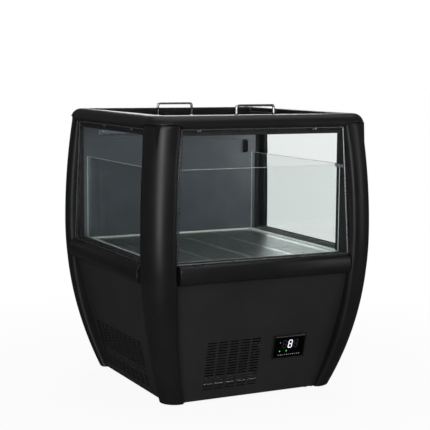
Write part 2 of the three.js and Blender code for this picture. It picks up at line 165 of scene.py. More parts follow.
def makeGlass(name, tint, smear):
    # toughened float glass: clear, with wiped smears that dull the gloss a little. Real glass is near 1.5;
    # the index is fitted lower because three or four panes in a row came out too dark. Shadow rays pass
    material, tree, shader = newMaterial(name, Base_Color=toLinear(tint), Transmission_Weight=1.0, IOR=1.33)
    wipe = noise(tree, 70, (1.0, 1.0, 0.35), Detail=4.0, Distortion=1.2)
    rough = ramp(tree, wipe, [(0.45, 0.0), (0.8, smear)])
    tree.links.new(rough, shader.inputs["Roughness"])
    path = addNode(tree, "ShaderNodeLightPath")
    lets = addNode(tree, "ShaderNodeBsdfTransparent", Color=toLinear(tint))
    mix = addNode(tree, "ShaderNodeMixShader", links={0: path.outputs["Is Shadow Ray"], 1: shader,
                                                     2: lets})
    output = next(n for n in tree.nodes if n.type == "OUTPUT_MATERIAL")
    tree.links.new(mix.outputs[0], output.inputs["Surface"])
    return material


def makeGlowPaintedEdge():
    # ground and polished glass edge, pale green like the sheet itself; its bright base colour is a painted
    # glow for the light that the sheet gathers and carries to its edge
    material, tree, shader = newMaterial("glass_edge_polished_painted_glow", Roughness=0.22, Coat_Weight=0.6,
                                         Coat_Roughness=0.08)
    wheel = noise(tree, 18, (1, 1, 12), Detail=3.0)
    # painted glow: these pale colours stand in for light carried through the glass
    colour = ramp(tree, wheel, [(0.3, "#a9b8b6"), (0.7, "#dbe6e4")])
    tree.links.new(colour, shader.inputs["Base Color"])
    bumped(tree, shader, wheel, 0.08, 0.1 * mm)
    return material


def makeMetal(name, dark, light, roughest, smoothest, streak, size, depth=0.02):
    # a bare metal whose rolled, drawn or brushed streaks run along the axis that streak squeezes
    material, tree, shader = newMaterial(name, Metallic=1.0)
    lines = noise(tree, size, streak, Detail=4.0)
    dress(tree, shader, lines, [(0.3, dark), (0.7, light)], [(0.3, roughest), (0.7, smoothest)])
    bumped(tree, shader, lines, 0.1, depth * mm)
    return material


def makeGalvanised():
    # hot-dip galvanised steel: dull zinc in crystals (spangle) about 9 mm across, each at its own brightness
    material, tree, shader = newMaterial("steel_galvanised", Metallic=0.9)
    crystals = addNode(tree, "ShaderNodeTexVoronoi", links={"Vector": where(tree)}, Scale=1 / (9 * mm))
    grey = addNode(tree, "ShaderNodeSeparateColor", links={"Color": crystals.outputs["Color"]})
    dress(tree, shader, grey.outputs[0], [(0.0, "#82888c"), (0.5, "#999fa3"), (1.0, "#b1b6b9")],
          [(0.0, 0.34), (1.0, 0.52)], grey.outputs[1])
    bumped(tree, shader, crystals.outputs["Distance"], 0.06, 0.05 * mm)
    return material


def makeLiner():
    # semi-gloss charcoal lacquer on the rear wall's sheet: picks up soft reflections, very slightly wavy
    material, tree, shader = newMaterial("liner_lacquered_grey", Coat_Weight=0.4, Coat_Roughness=0.12)
    wave = noise(tree, 60, Detail=1.0)
    fine = noise(tree, 2.5, Detail=1.0)
    dress(tree, shader, wave, [(0.3, "#4e5258"), (0.7, "#565a61")], [(0.3, 0.28), (0.7, 0.36)], fine)
    bumped(tree, shader, wave, 0.25, 0.6 * mm)
    return material


def makePolystyrene():
    # white polystyrene, vacuum-formed over a tool: smooth with a faint pebble and a slightly warm white
    material, tree, shader = newMaterial("polystyrene_white", Subsurface_Weight=0.05, Subsurface_Scale=0.01)
    pebble = addNode(tree, "ShaderNodeTexVoronoi", links={"Vector": where(tree)}, Scale=1 / (2.6 * mm))
    cloud = noise(tree, 120)
    dress(tree, shader, cloud, [(0.3, "#dcdddc"), (0.7, "#e8e9e8")], [(0.3, 0.34), (0.7, 0.46)])
    bumped(tree, shader, pebble.outputs["Distance"], 0.05, 0.1 * mm)
    return material


def makeEnamel():
    # black stoving enamel sprayed on the pressed compressor shell: glossy, with runs of softer sheen
    material, tree, shader = newMaterial("enamel_black", Coat_Weight=0.7, Coat_Roughness=0.1)
    run = noise(tree, 14, (1, 1, 0.3), Detail=3.0)
    dress(tree, shader, run, [(0.3, "#0f0f10"), (0.75, "#191919")], [(0.3, 0.26), (0.7, 0.4)])
    bumped(tree, shader, run, 0.15, 0.25 * mm)
    return material


def makeRubber(name, dark, light, roughness):
    # moulded rubber or glass-filled nylon: matt, dusty in the hollows
    material, tree, shader = newMaterial(name, Specular_IOR_Level=0.35)
    dust = noise(tree, 7, Detail=5.0)
    grit = noise(tree, 0.9)
    dress(tree, shader, dust, [(0.35, dark), (0.8, light)],
          [(0.3, roughness - 0.06), (0.7, roughness + 0.08)])
    bumped(tree, shader, grit, 0.2, 0.08 * mm)
    return material


def makeDisplayGlass():
    # black acrylic window, mirror smooth, with the finest swirl of wiping marks
    material, tree, shader = newMaterial("acrylic_black_gloss", Specular_IOR_Level=0.12, IOR=1.49)
    swirl = noise(tree, 16, Detail=6.0, Distortion=2.0)
    dress(tree, shader, swirl, [(0.3, "#020202"), (0.8, "#040405")], [(0.45, 0.05), (0.8, 0.14)])
    return material


def makeGlow(name, colour, strength, dim=0.75):
    # lit plastic, a little uneven because the light comes from behind it; the unlit digits and the scale
    # marks take the same glow as painted light
    material, tree, shader = newMaterial(name, Base_Color=toLinear(colour), Roughness=0.45,
                                         Emission_Strength=strength)
    patch = noise(tree, 22, Detail=1.0)
    full = toLinear(colour)
    node = addNode(tree, "ShaderNodeMix", links={0: patch}, data_type="RGBA")
    node.inputs[6].default_value = tuple(c * dim for c in full[:3]) + (1,)
    node.inputs[7].default_value = full
    tree.links.new(node.outputs[2], shader.inputs["Emission Color"])
    return material


finishes = {
    "abs": makeMouldedAbs(),
    "powder": makePowderCoat(),
    "glass": makeGlass("glass_toughened_outer", "#fbfdfc", 0.04),
    "innerGlass": makeGlass("glass_toughened_inner", "#fafdfc", 0.02),
    "edge": makeGlowPaintedEdge(),
    # satin anodised aluminium extrusion: fine die lines along it, soft cool gloss
    "anodised": makeMetal("aluminium_anodised", "#b9bcc0", "#d3d5d8", 0.34, 0.24, (0.06, 0.06, 1), 1.2),
    # bright nickel-chrome plate on drawn bar: near mirror with faint polishing haze
    "chrome": makeMetal("chrome_plated", "#d6d8da", "#eff0f1", 0.1, 0.05, (0.2, 1, 1), 9),
    "galvanised": makeGalvanised(),
    # stainless deck plate, rolled with a 2B finish: grey, cloudy gloss
    "stainless": makeMetal("stainless_rolled", "#a5a8aa", "#c0c3c4", 0.36, 0.26, (0.15, 1, 1), 4),
    # mill-finish aluminium foil fins, dull and streaky
    "fin": makeMetal("aluminium_fin", "#9fa3a6", "#c2c5c7", 0.5, 0.36, (1, 1, 0.2), 3),
    # bare drawn copper tube, tarnished in bands
    "copper": makeMetal("copper_tube", "#8f4f2f", "#c9794d", 0.42, 0.26, (1, 1, 1), 12),
    # bright zinc-plated steel screw: pale, slightly blue, worn in the slot
    "zinc": makeMetal("steel_zinc_plated", "#a9adb1", "#d0d3d6", 0.34, 0.22, (1, 1, 1), 1.5),
    "liner": makeLiner(),
    "polystyrene": makePolystyrene(),
    "enamel": makeEnamel(),
    "rubber": makeRubber("rubber_epdm_black", "#161617", "#222223", 0.7),
    "nylon": makeRubber("nylon_grey", "#262627", "#343436", 0.55),
    "acrylic": makeDisplayGlass(),
    "diffuser": makeGlow("polycarbonate_diffuser", "#5c626c", 0.3),
    "digit": makeGlow("digit_white", "#f4f8ff", 0.85),
    # white printed scale marks: the white is their print, the faint glow on them is painted light
    "mark": makeGlow("scale_mark_white_painted_glow", "#9a9ea6", 0.2),
    # the unlit digits carry a faint painted glow, though they are not lit
    "ghost": makeGlow("digit_unlit_painted_glow", "#26282b", 0.1),
    "green": makeGlow("led_green", "#22d84a", 0.9),
}
print("finishes made:", len(finishes))


# ---- mesh tools ----

def newMesh(name, points, faces):
    mesh = bpy.data.meshes.new(name)
    mesh.from_pydata([tuple(p) for p in points], [], faces)
    mesh.update()
    piece = bpy.data.objects.new(name, mesh)
    bpy.context.scene.collection.objects.link(piece)
    return piece


def fromBmesh(name, shape):
    bmesh.ops.recalc_face_normals(shape, faces=shape.faces)
    mesh = bpy.data.meshes.new(name)
    shape.to_mesh(mesh)
    shape.free()
    piece = bpy.data.objects.new(name, mesh)
    bpy.context.scene.collection.objects.link(piece)
    return piece


def finishPiece(piece, body, looks, replaced=(), crease=35):
    # looks is one finish, or a list of them where the faces already carry their material's number
    for look in [looks] if isinstance(looks, str) else looks:
        if finishes[look].name not in piece.data.materials:
            piece.data.materials.append(finishes[look])
    mesh = piece.data
    for face in mesh.polygons:
        face.use_smooth = True
    mesh.set_sharp_from_angle(angle=math.radians(crease))
    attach(piece, body)
    if replaced:
        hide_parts(*([replaced] if isinstance(replaced, str) else replaced))
    return piece


def settle(piece):
    # the modifiers' result becomes the piece's own plain mesh
    bpy.context.view_layer.update()
    graph = bpy.context.evaluated_depsgraph_get()
    result = bpy.data.meshes.new_from_object(piece.evaluated_get(graph), depsgraph=graph)
    piece.modifiers.clear()
    old = piece.data
    piece.data = result
    bpy.data.meshes.remove(old)
    return piece


def addBox(shape, low, high, round=0.0, steps=2):
    # a box with rounded edges, added to a bmesh
    made = bmesh.ops.create_cube(shape, size=1.0)["verts"]
    size = [b - a for a, b in zip(low, high)]
    for v in made:
        v.co = Vector([a + (c + 0.5) * s for a, c, s in zip(low, v.co, size)])
    if round:
        edges = list({e for v in made for e in v.link_edges})
        made = bmesh.ops.bevel(shape, geom=edges, offset=min(round, 0.45 * min(size)), segments=steps,
                               affect="EDGES", profile=0.5, clamp_overlap=True)["verts"]
    return made


def addLoft(shape, rings, closed=False):
    # a skin through rings of points; its ends are capped unless the last ring joins the first
    rows = [[shape.verts.new(p) for p in ring] for ring in rings]
    count = len(rows[0])
    for r in range(len(rows) if closed else len(rows) - 1):
        low, high = rows[r], rows[(r + 1) % len(rows)]
        for i in range(count):
            j = (i + 1) % count
            shape.faces.new((low[i], low[j], high[j], high[i]))
    if not closed:
        shape.faces.new(rows[0][::-1])
        shape.faces.new(rows[-1])
    return [v for row in rows for v in row]


def addLathe(shape, profile, centre, axis="z", sides=40):
    # profile: (radius, distance along the axis) pairs from end to end, on the axis at both ends or closed
    rings = [(max(radius, 1e-5), along) for radius, along in profile]
    turn = {"z": lambda a, b, c: (a, b, c), "y": lambda a, b, c: (a, c, b),
            "x": lambda a, b, c: (c, a, b)}[axis]
    points = [[Vector(centre) + Vector(turn(r * math.cos(2 * math.pi * k / sides),
                                            r * math.sin(2 * math.pi * k / sides), h))
               for k in range(sides)] for r, h in rings]
    return addLoft(shape, points)


def addTube(shape, points, radius, sides=12):
    # a round bar swept along points, its section carried along without twist
    points = [Vector(p) for p in points]
    along = [(points[min(i + 1, len(points) - 1)] - points[max(i - 1, 0)]).normalized()
             for i in range(len(points))]
    side = along[0].orthogonal().normalized()
    rings = []
    for p, t in zip(points, along):
        side = (side - t * side.dot(t)).normalized()
        other = t.cross(side)
        around = [2 * math.pi * k / sides for k in range(sides)]
        rings.append([p + radius * (side * math.cos(a) + other * math.sin(a)) for a in around])
    return addLoft(shape, rings)


def arc(cx, cy, radius, start, end, steps):
    return [(cx + radius * math.cos(a), cy + radius * math.sin(a))
            for a in (start + (end - start) * i / steps for i in range(steps + 1))]


def roundedPath(points, bend, steps=6):
    # corners of a path turned into arcs
    points = [Vector(p) for p in points]
    path = [points[0]]
    for before, at, after in zip(points, points[1:], points[2:]):
        a, b = (before - at).normalized(), (after - at).normalized()
        reach = bend / math.tan(a.angle(b) / 2)
        start, end = at + a * reach, at + b * reach
        for i in range(steps + 1):
            t = i / steps
            path.append(start * (1 - t) ** 2 + at * 2 * t * (1 - t) + end * t ** 2)
    return path + [points[-1]]


def softenEdges(piece, width, steps=2, angle=40):
    modifier = piece.modifiers.new("edges", "BEVEL")
    modifier.width, modifier.segments = width, steps
    modifier.limit_method, modifier.angle_limit = "ANGLE", math.radians(angle)
    return settle(piece)


def mergedCopy(node, name, width=0.0, steps=2):
    # a CAD node's shape as one welded mesh, its sharp edges softened
    shape = bmesh.new()
    shape.from_mesh(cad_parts[node].data)
    bmesh.ops.remove_doubles(shape, verts=shape.verts, dist=1e-5)
    bmesh.ops.dissolve_limit(shape, angle_limit=0.02, verts=shape.verts, edges=shape.edges)
    piece = fromBmesh(name, shape)
    return softenEdges(piece, width, steps) if width else piece


# ---- room ----

studio = {
    "backdrop": 1.25, "bounce": 0.08, "floorGloss": 0.08, "floorSize": 80.0, "fade": (0.45, 1.6, 0.93),
    "lamps": {
        # name: (place, size, watts), each aimed at the middle of the cabinet
        "key": ((-1.6, -3.2, 2.8), (2.4, 1.6), 28.0),
        "strip": ((-2.05, -2.5, 1.0), (1.0, 1.9), 30.0),
        "fill": ((2.6, -2.2, 1.2), (0.6, 2.2), 9.0),
        "top": ((0.2, 0.2, 3.0), (3.0, 3.0), 22.0),
        "back": ((1.4, 2.8, 1.8), (1.4, 1.4), 24.0),
    },
}


def makeStage():
    world = bpy.data.worlds.new("studio")
    bpy.context.scene.world = world
    world.use_nodes = True
    tree = world.node_tree
    tree.nodes.clear()
    path = addNode(tree, "ShaderNodeLightPath")
    bounced = addNode(tree, "ShaderNodeMath", links={0: path.outputs["Glossy Depth"],
                                                     1: path.outputs["Diffuse Depth"]}, operation="ADD",
                      use_clamp=True)
    level = addNode(tree, "ShaderNodeMapRange", links={"Value": bounced}, To_Min=studio["backdrop"],
                    To_Max=studio["bounce"])
    background = addNode(tree, "ShaderNodeBackground", links={"Strength": level}, Color=(1, 1, 1, 1))
    addNode(tree, "ShaderNodeOutputWorld", links={"Surface": background})

    half = studio["floorSize"] / 2
    floor = newMesh("floor", [(-half, -half, 0), (half, -half, 0), (half, half, 0), (-half, half, 0)],
                    [(0, 1, 2, 3)])
    material, tree, shader = newMaterial("floor_painted", Base_Color=toLinear("#f4f4f3"), Roughness=0.7)
    path = addNode(tree, "ShaderNodeLightPath")
    dark = addNode(tree, "ShaderNodeBsdfDiffuse", Color=(studio["floorGloss"],) * 3 + (1,))
    glow = addNode(tree, "ShaderNodeEmission", Color=(1, 1, 1, 1), Strength=1.0)
    reach = addNode(tree, "ShaderNodeVectorMath", links={0: where(tree)}, operation="LENGTH")
    far = addNode(tree, "ShaderNodeMapRange", links={"Value": reach.outputs["Value"]},
                  From_Min=studio["fade"][0], From_Max=studio["fade"][1], To_Min=studio["fade"][2])
    lit = addNode(tree, "ShaderNodeMixShader", links={0: far, 1: shader, 2: glow})
    bounced = addNode(tree, "ShaderNodeMath", links={0: path.outputs["Glossy Depth"]}, operation="MINIMUM")
    bounced.inputs[1].default_value = 1.0
    mix = addNode(tree, "ShaderNodeMixShader", links={0: bounced, 1: lit, 2: dark})
    output = next(n for n in tree.nodes if n.type == "OUTPUT_MATERIAL")
    tree.links.new(mix.outputs[0], output.inputs["Surface"])
    floor.data.materials.append(material)

    for name, (place, size, watts) in studio["lamps"].items():
        data = bpy.data.lights.new(name, "AREA")
        data.shape = "RECTANGLE"
        data.size, data.size_y = size
        data.energy = watts
        lamp = bpy.data.objects.new(name, data)
        lamp.location = place
        lamp.rotation_euler = (Vector((0, 0, 0.45)) - Vector(place)).to_track_quat("-Z", "Y").to_euler()
        bpy.context.scene.collection.objects.link(lamp)
    bpy.context.scene.view_settings.view_transform = "Standard"
    print("stage set:", len(studio["lamps"]), "lamps")


# ---- the cabinet's form, in metres ----

postLow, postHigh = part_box("post_front_left")
rimLow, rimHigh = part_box("rim")
railLow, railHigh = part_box("rail_front")
form = {
    "waist": 0.485, "lowerBow": 1.285, "upperBow": 2.75, "corner": 0.066,
    "arm": 0.087, "armTaper": 27 / 355,
    "skinAtRail": 0.35, "skinAtRim": 0.339, "skinAtSkirt": 0.265,
    "glassFoot": 0.435, "panelHead": 0.379, "gap": 0.0003,
}
form["halfWidth"] = -postLow.x
form["skirt"] = postLow.z
form["rimBottom"] = rimLow.z
form["railBottom"], form["railTop"] = railLow.z, railHigh.z
turns = {"front": 0.0, "right": math.pi / 2, "rear": math.pi, "left": -math.pi / 2}


def outline(z):
    bow = form["lowerBow"] if z < form["waist"] else form["upperBow"]
    return form["halfWidth"] - (bow - math.sqrt(bow * bow - (z - form["waist"]) ** 2))


def skin(z):
    if z >= form["glassFoot"]:
        share = (z - form["glassFoot"]) / (form["rimBottom"] - form["glassFoot"])
        return form["skinAtRail"] + (form["skinAtRim"] - form["skinAtRail"]) * share
    if z >= form["panelHead"]:
        return form["skinAtRail"]
    share = (z - form["skirt"]) / (form["panelHead"] - form["skirt"])
    return form["skinAtSkirt"] + (form["skinAtRail"] - form["skinAtSkirt"]) * share


def armAt(z):
    return form["arm"] - max(0.0, form["railBottom"] - z) * form["armTaper"]


def slopeOf(low, high):
    return math.hypot(skin(high) - skin(low), high - low)


def onSlope(side, low, high):
    # from sheet coordinates (across, up the slope, outwards) to the cabinet
    lean = math.atan2(skin(high) - skin(low), high - low)
    return (Matrix.Rotation(turns[side], 4, "Z") @ Matrix.Translation((0, -skin(low), low))
            @ Matrix.Rotation(math.pi / 2 + lean, 4, "X"))


# ---- casing ----

post = {"levels": 72, "edgeSteps": 6, "roundSteps": 18, "round": 0.75, "edge": 0.22, "footLip": 0.0015}
rim = {
    "crown": 0.032, "cornerSteps": 20, "crownSteps": 12, "cornerLift": 0.012, "liftFrom": 0.094,
    "liftTo": 0.08, "liftFade": 0.016, "mouth": 0.3, "beamInside": 0.304, "beamCorner": 0.034,
}


def postRing(z, inset=0.0):
    out = outline(z) - inset
    reach, inner = out - armAt(z), skin(z) + 0.0005
    round, edge = post["round"] * armAt(z), min(post["edge"] * armAt(z), out - inner - 0.001)
    quarter = math.pi / 2
    flat = [(-reach, -inner)]
    flat += arc(-reach - edge, -(out - edge), edge, 0, -quarter, post["edgeSteps"])
    flat += arc(-(out - round), -(out - round), round, -quarter, -2 * quarter, post["roundSteps"])
    flat += arc(-(out - edge), -reach - edge, edge, 2 * quarter, quarter, post["edgeSteps"])
    flat += [(-inner, -reach), (-inner, -inner)]
    return [(x, y, z) for x, y in flat]


def makePosts():
    top = form["rimBottom"] + rim["cornerLift"] - form["gap"]
    heights = [form["skirt"] + (top - form["skirt"]) * i / post["levels"]
               for i in range(post["levels"] + 1)]
    lip = post["footLip"]
    for side, corner in (("front", "front_left"), ("right", "front_right"), ("rear", "rear_right"),
                         ("left", "rear_left")):
        shape = bmesh.new()
        rings = [postRing(heights[0], lip)] + [postRing(z) for z in [heights[0] + lip] + heights[1:-1]]
        rings += [postRing(top - 2 * lip), postRing(top, lip)]
        addLoft(shape, rings)
        piece = fromBmesh("corner_post_" + corner, shape)
        piece.data.transform(Matrix.Rotation(turns[side], 4, "Z"))
        finishPiece(piece, "cabinet", "abs", "post_" + corner, crease=40)
    print("posts made")


def squareRing(half, radius, z, steps, stops=()):
    # stops: distances from the centre line at which the straight sides get a point of their own
    r, quarter = max(radius, 0.001), math.pi / 2
    points = []
    for k in range(4):
        turn = Matrix.Rotation(k * quarter, 2)
        side = [(half, y) for y in [-s for s in stops] + list(reversed(stops))]
        side += arc(half - r, half - r, r, 0, quarter, steps)
        points += [turn @ Vector(p) for p in side]
    return [(p.x, p.y, z) for p in points]


def raisedAtCorners(ring):
    # the rim's lower edge steps up over the posts
    raised = []
    for x, y, z in ring:
        reach = rimHigh.x - min(abs(x), abs(y))
        share = max(0.0, min(1.0, (rim["liftFrom"] - reach) / (rim["liftFrom"] - rim["liftTo"])))
        fade = max(0.0, 1.0 - (z - rimLow.z) / rim["liftFade"])
        raised.append((x, y, z + rim["cornerLift"] * share * share * (3 - 2 * share) * fade))
    return raised


def makeRim():
    outer, mouth = rimHigh.x, rim["mouth"]
    low, top, crown = rimLow.z, rimHigh.z, rim["crown"]
    stops = [mouth - 0.03 - 0.0025 * i for i in range(16)]
    under = [(outer - 0.02, low + 0.0015), (outer - 0.0045, low), (outer - 0.0018, low + 0.0008),
             (outer - 0.0005, low + 0.0024)]
    upper = [(mouth, low + 0.0015), (mouth + 0.0015, low)]
    crest = arc(outer - crown, top - crown, crown, 0.12, math.pi / 2, rim["crownSteps"])
    crest += [(mouth + 0.007, top)] + arc(mouth + 0.0055, top - 0.0055, 0.0055, math.pi / 2, math.pi, 5)
    shape = bmesh.new()
    corner = form["corner"]

    def ringAt(h, z):
        return squareRing(h, corner - (outer - h), z, rim["cornerSteps"], stops)

    rings = [ringAt(*p) for p in upper] + [raisedAtCorners(ringAt(*p)) for p in under + crest]
    addLoft(shape, rings, closed=True)
    finishPiece(fromBmesh("top_rim", shape), "cabinet", "abs", "rim", crease=50)

    low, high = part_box("top_frame")
    inside = rim["beamInside"]
    beam = [(inside, low.z), (high.x - 0.001, low.z), (high.x, low.z + 0.001), (high.x, high.z),
            (inside, high.z)]
    shape = bmesh.new()
    addLoft(shape, [squareRing(h, rim["beamCorner"] - (high.x - h), z, 10) for h, z in beam], closed=True)
    # the frame takes the dark rubber finish as painted shade, for the shadow that the rim casts on it
    finishPiece(fromBmesh("glazing_frame_top_painted_shade", shape), "cabinet", "rubber", "top_frame")
    print("rim made")


rail = {"back": 0.3325, "side": 0.0012, "endRound": 0.003, "steps": 14}


def makeRails():
    low, high = form["railBottom"], form["railTop"]
    bulge = -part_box("rail_front")[0].y
    half = outline(low) - form["arm"] - rail["side"]
    curve = []
    lower = ((bulge - 0.016, low), (bulge - 0.003, low + 0.003), (bulge, low + 0.014), (bulge, low + 0.025))
    upper = ((bulge, low + 0.025), (bulge, high - 0.014), (bulge - 0.004, high - 0.002),
             (bulge - 0.017, high))
    for a, b, c, d in (lower, upper):
        for i in range(rail["steps"]):
            t = i / rail["steps"]
            w = ((1 - t) ** 3, 3 * t * (1 - t) ** 2, 3 * t * t * (1 - t), t ** 3)
            curve.append(tuple(sum(k * p[n] for k, p in zip(w, (a, b, c, d))) for n in (0, 1)))
    curve += [(bulge - 0.017, high), (rail["back"], high), (rail["back"], low)]
    middle = (sum(p[0] for p in curve) / len(curve), (low + high) / 2)
    ends = [(-half, rail["endRound"]), (-half + 0.0009, 0.0012), (-half + rail["endRound"], 0.0)]
    stations = ends + [(-x, inset) for x, inset in reversed(ends)]
    for side in turns:
        shape = bmesh.new()
        rings = []
        for x, inset in stations:
            ring = []
            for y, z in curve:
                toward = Vector((middle[0] - y, middle[1] - z))
                pulled = Vector((y, z)) + toward.normalized() * inset
                ring.append((x, -pulled.x, pulled.y))
            rings.append(ring)
        addLoft(shape, rings)
        piece = fromBmesh("bumper_rail_" + side, shape)
        piece.data.transform(Matrix.Rotation(turns[side], 4, "Z"))
        finishPiece(piece, "cabinet", "abs", "rail_" + side, crease=30)
    print("rails made")


def makeColumns():
    for side in ("left", "right"):
        piece = mergedCopy("corner_column_" + side, "inner_column_" + side, 0.002, 3)
        finishPiece(piece, "cabinet", "rubber", "corner_column_" + side)


# ---- geometry trees ----

def newTree(name, sockets):
    # a geometry group whose inputs are the geometry, the sockets named under their kinds, and a material
    tree = bpy.data.node_groups.new(name, "GeometryNodeTree")
    tree.interface.new_socket("Geometry", in_out="INPUT", socket_type="NodeSocketGeometry")
    for kind, names in sockets.items():
        for socket in names:
            tree.interface.new_socket(socket, in_out="INPUT", socket_type="NodeSocket" + kind)
    tree.interface.new_socket("Material", in_out="INPUT", socket_type="NodeSocketMaterial")
    tree.interface.new_socket("Geometry", in_out="OUTPUT", socket_type="NodeSocketGeometry")
    return tree, addNode(tree, "NodeGroupInput").outputs


def closeTree(tree, given, geometry):
    # the instances are made real and take the material given
    real = addNode(tree, "GeometryNodeRealizeInstances", links={"Geometry": geometry})
    painted = addNode(tree, "GeometryNodeSetMaterial", links={"Geometry": real,
                                                             "Material": given["Material"]})
    addNode(tree, "NodeGroupOutput", links={0: painted})
    return tree


# ---- slotted sheets ----

def slotTree():
    # a sheet lying flat, with rows and columns of round-ended slots cut through it
    tree, given = newTree("slotted_sheet", {
        "Float": ("Slot Length", "Slot Height", "Pitch Across", "Pitch Up", "First Across", "First Up"),
        "Int": ("Columns", "Rows")})

    def maths(operation, a, b):
        node = addNode(tree, "ShaderNodeMath", operation=operation)
        for number, value in enumerate((a, b)):
            if isinstance(value, (int, float)):
                node.inputs[number].default_value = value
            else:
                tree.links.new(value, node.inputs[number])
        return node.outputs[0]

    def span(count, pitch):
        return maths("MULTIPLY", maths("SUBTRACT", given[count], 1.0), given[pitch])

    wide, tall = span("Columns", "Pitch Across"), span("Rows", "Pitch Up")
    grid = addNode(tree, "GeometryNodeMeshGrid", links={"Size X": wide, "Size Y": tall,
                                                        "Vertices X": given["Columns"],
                                                        "Vertices Y": given["Rows"]})
    middleX = maths("ADD", given["First Across"],
                    maths("MULTIPLY", maths("ADD", wide, given["Slot Length"]), 0.5))
    middleY = maths("ADD", given["First Up"], maths("MULTIPLY", maths("ADD", tall, given["Slot Height"]),
                                                    0.5))
    centre = addNode(tree, "ShaderNodeCombineXYZ", links={"X": middleX, "Y": middleY})
    placed = addNode(tree, "GeometryNodeTransform", links={"Geometry": grid, "Translation": centre})
    edge = addNode(tree, "GeometryNodeCurvePrimitiveQuadrilateral", links={"Width": given["Slot Length"],
                                                                            "Height": given["Slot Height"]})
    radius = maths("MULTIPLY", given["Slot Height"], 0.49)
    rounded = addNode(tree, "GeometryNodeFilletCurve", links={"Curve": edge, "Radius": radius},
                      mode="POLY", Count=4)
    filled = addNode(tree, "GeometryNodeFillCurve", links={"Curve": rounded}, mode="NGONS")
    lowered = addNode(tree, "GeometryNodeTransform", links={"Geometry": filled}, Translation=(0, 0, -0.004))
    raised = addNode(tree, "GeometryNodeExtrudeMesh", links={"Mesh": lowered}, mode="FACES",
                     Offset_Scale=0.008)
    turned = addNode(tree, "GeometryNodeFlipFaces", links={"Mesh": lowered})
    closed = addNode(tree, "GeometryNodeJoinGeometry")
    tree.links.new(raised.outputs[0], closed.inputs[0])
    tree.links.new(turned.outputs[0], closed.inputs[0])
    cutter = addNode(tree, "GeometryNodeMergeByDistance", links={"Geometry": closed}, Distance=1e-6)
    spread = addNode(tree, "GeometryNodeInstanceOnPoints", links={"Points": placed,
                                                                 "Instance": cutter})
    real = addNode(tree, "GeometryNodeRealizeInstances", links={"Geometry": spread})
    cut = addNode(tree, "GeometryNodeMeshBoolean", links={"Mesh 1": given["Geometry"], "Mesh 2": real},
                  operation="DIFFERENCE", solver="EXACT")
    return closeTree(tree, given, cut)


def useNodes(piece, tree, values):
    # runs a geometry tree on a piece, with its inputs given by name, and keeps the result as plain mesh
    modifier = piece.modifiers.new("nodes", "NODES")
    modifier.node_group = tree
    known = {item.name: item.identifier for item in tree.interface.items_tree if item.in_out == "INPUT"}
    for name, value in values.items():
        modifier[known[name]] = value
    return settle(piece)


def slotted(piece, grid, finish):
    return useNodes(piece, slots, {
        "Slot Length": grid["length"], "Slot Height": grid["height"], "Pitch Across": grid["across"],
        "Pitch Up": grid["up"], "First Across": grid["start"][0], "First Up": grid["start"][1],
        "Columns": grid["count"][0], "Rows": grid["count"][1], "Material": finishes[finish]})


slots = slotTree()
fine = {"length": 0.031, "height": 0.004, "across": 0.0366, "up": 0.0087}
panels = {
    # each grille: its first slot's corner in the sheet, and its columns and rows
    "front": {**fine, "start": (-0.162, 0.033), "count": (5, 18)},
    "left": {**fine, "start": (-0.224, 0.022), "count": (10, 17)},
    "right": {**fine, "start": (-0.142, 0.022), "count": (10, 17)},
    "rear": {**fine, "start": (-0.165, 0.178), "count": (8, 10)},
}
sheets = {"thickness": 0.0015, "edge": 0.0004, "windows": {
    "front": ((0.113, 0.147), (0.104, 0.068)), "rear": ((0.15, 0.09), (0.05, 0.03))}}


def flatSheet(name, low, high, thickness, inset=0.006):
    # a trapezium of sheet in its own flat coordinates
    a, b, slope = skin(low) - inset, skin(high) - inset, slopeOf(low, high)
    corners = [(-a, 0), (a, 0), (b, slope), (-b, slope)]
    points = [(x, y, z) for z in (-thickness, 0) for x, y in corners]
    faces = [(3, 2, 1, 0), (4, 5, 6, 7)] + [(i, (i + 1) % 4, (i + 1) % 4 + 4, i + 4) for i in range(4)]
    return newMesh(name, points, faces)


def punchWindow(piece, middle, size):
    # a rectangular opening through a flat sheet, cut by a box
    shape = bmesh.new()
    (x, y), (w, h) = middle, size
    addBox(shape, (x - w / 2, y - h / 2, -0.01), (x + w / 2, y + h / 2, 0.01))
    cutter = fromBmesh("cutter", shape)
    modifier = piece.modifiers.new("window", "BOOLEAN")
    modifier.object, modifier.operation, modifier.solver = cutter, "DIFFERENCE", "EXACT"
    settle(piece)
    bpy.data.objects.remove(cutter)


baffle = {"offset": 0.004, "low": 0.022, "high": 0.0576, "thickness": 0.0012, "half": 0.235}


def makeSlotShadeSheets():
    # folded dark sheets under the chassis, close inside the lowest slots: painted shade that keeps light out
    # of those slots so they look dark
    for side in panels:
        shape = bmesh.new()
        rings = []
        for x in (-baffle["half"], baffle["half"]):
            near = [(-(skin(z) - baffle["offset"]), z) for z in (baffle["low"], baffle["high"])]
            fold = [(y + baffle["thickness"], z) for y, z in reversed(near)]
            rings.append([(x, y, z) for y, z in near + fold])
        addLoft(shape, rings)
        piece = fromBmesh("slot_shade_sheet_" + side, shape)
        piece.data.transform(Matrix.Rotation(turns[side], 4, "Z"))
        softenEdges(piece, 0.0003)
        # the dark rubber finish here is painted shade for the slots
        finishPiece(piece, "cabinet", "rubber")


def makePanels():
    low, high = form["skirt"], form["railBottom"] - 0.0005
    for side, grid in panels.items():
        piece = flatSheet("lower_panel_" + side, low, high, sheets["thickness"])
        if side in sheets["windows"]:
            punchWindow(piece, *sheets["windows"][side])
        slotted(piece, grid, "powder")
        piece.data.transform(onSlope(side, low, high))
        finishPiece(piece, "cabinet", "powder", "panel_" + side)
    print("panels made")


# ---- glazing ----

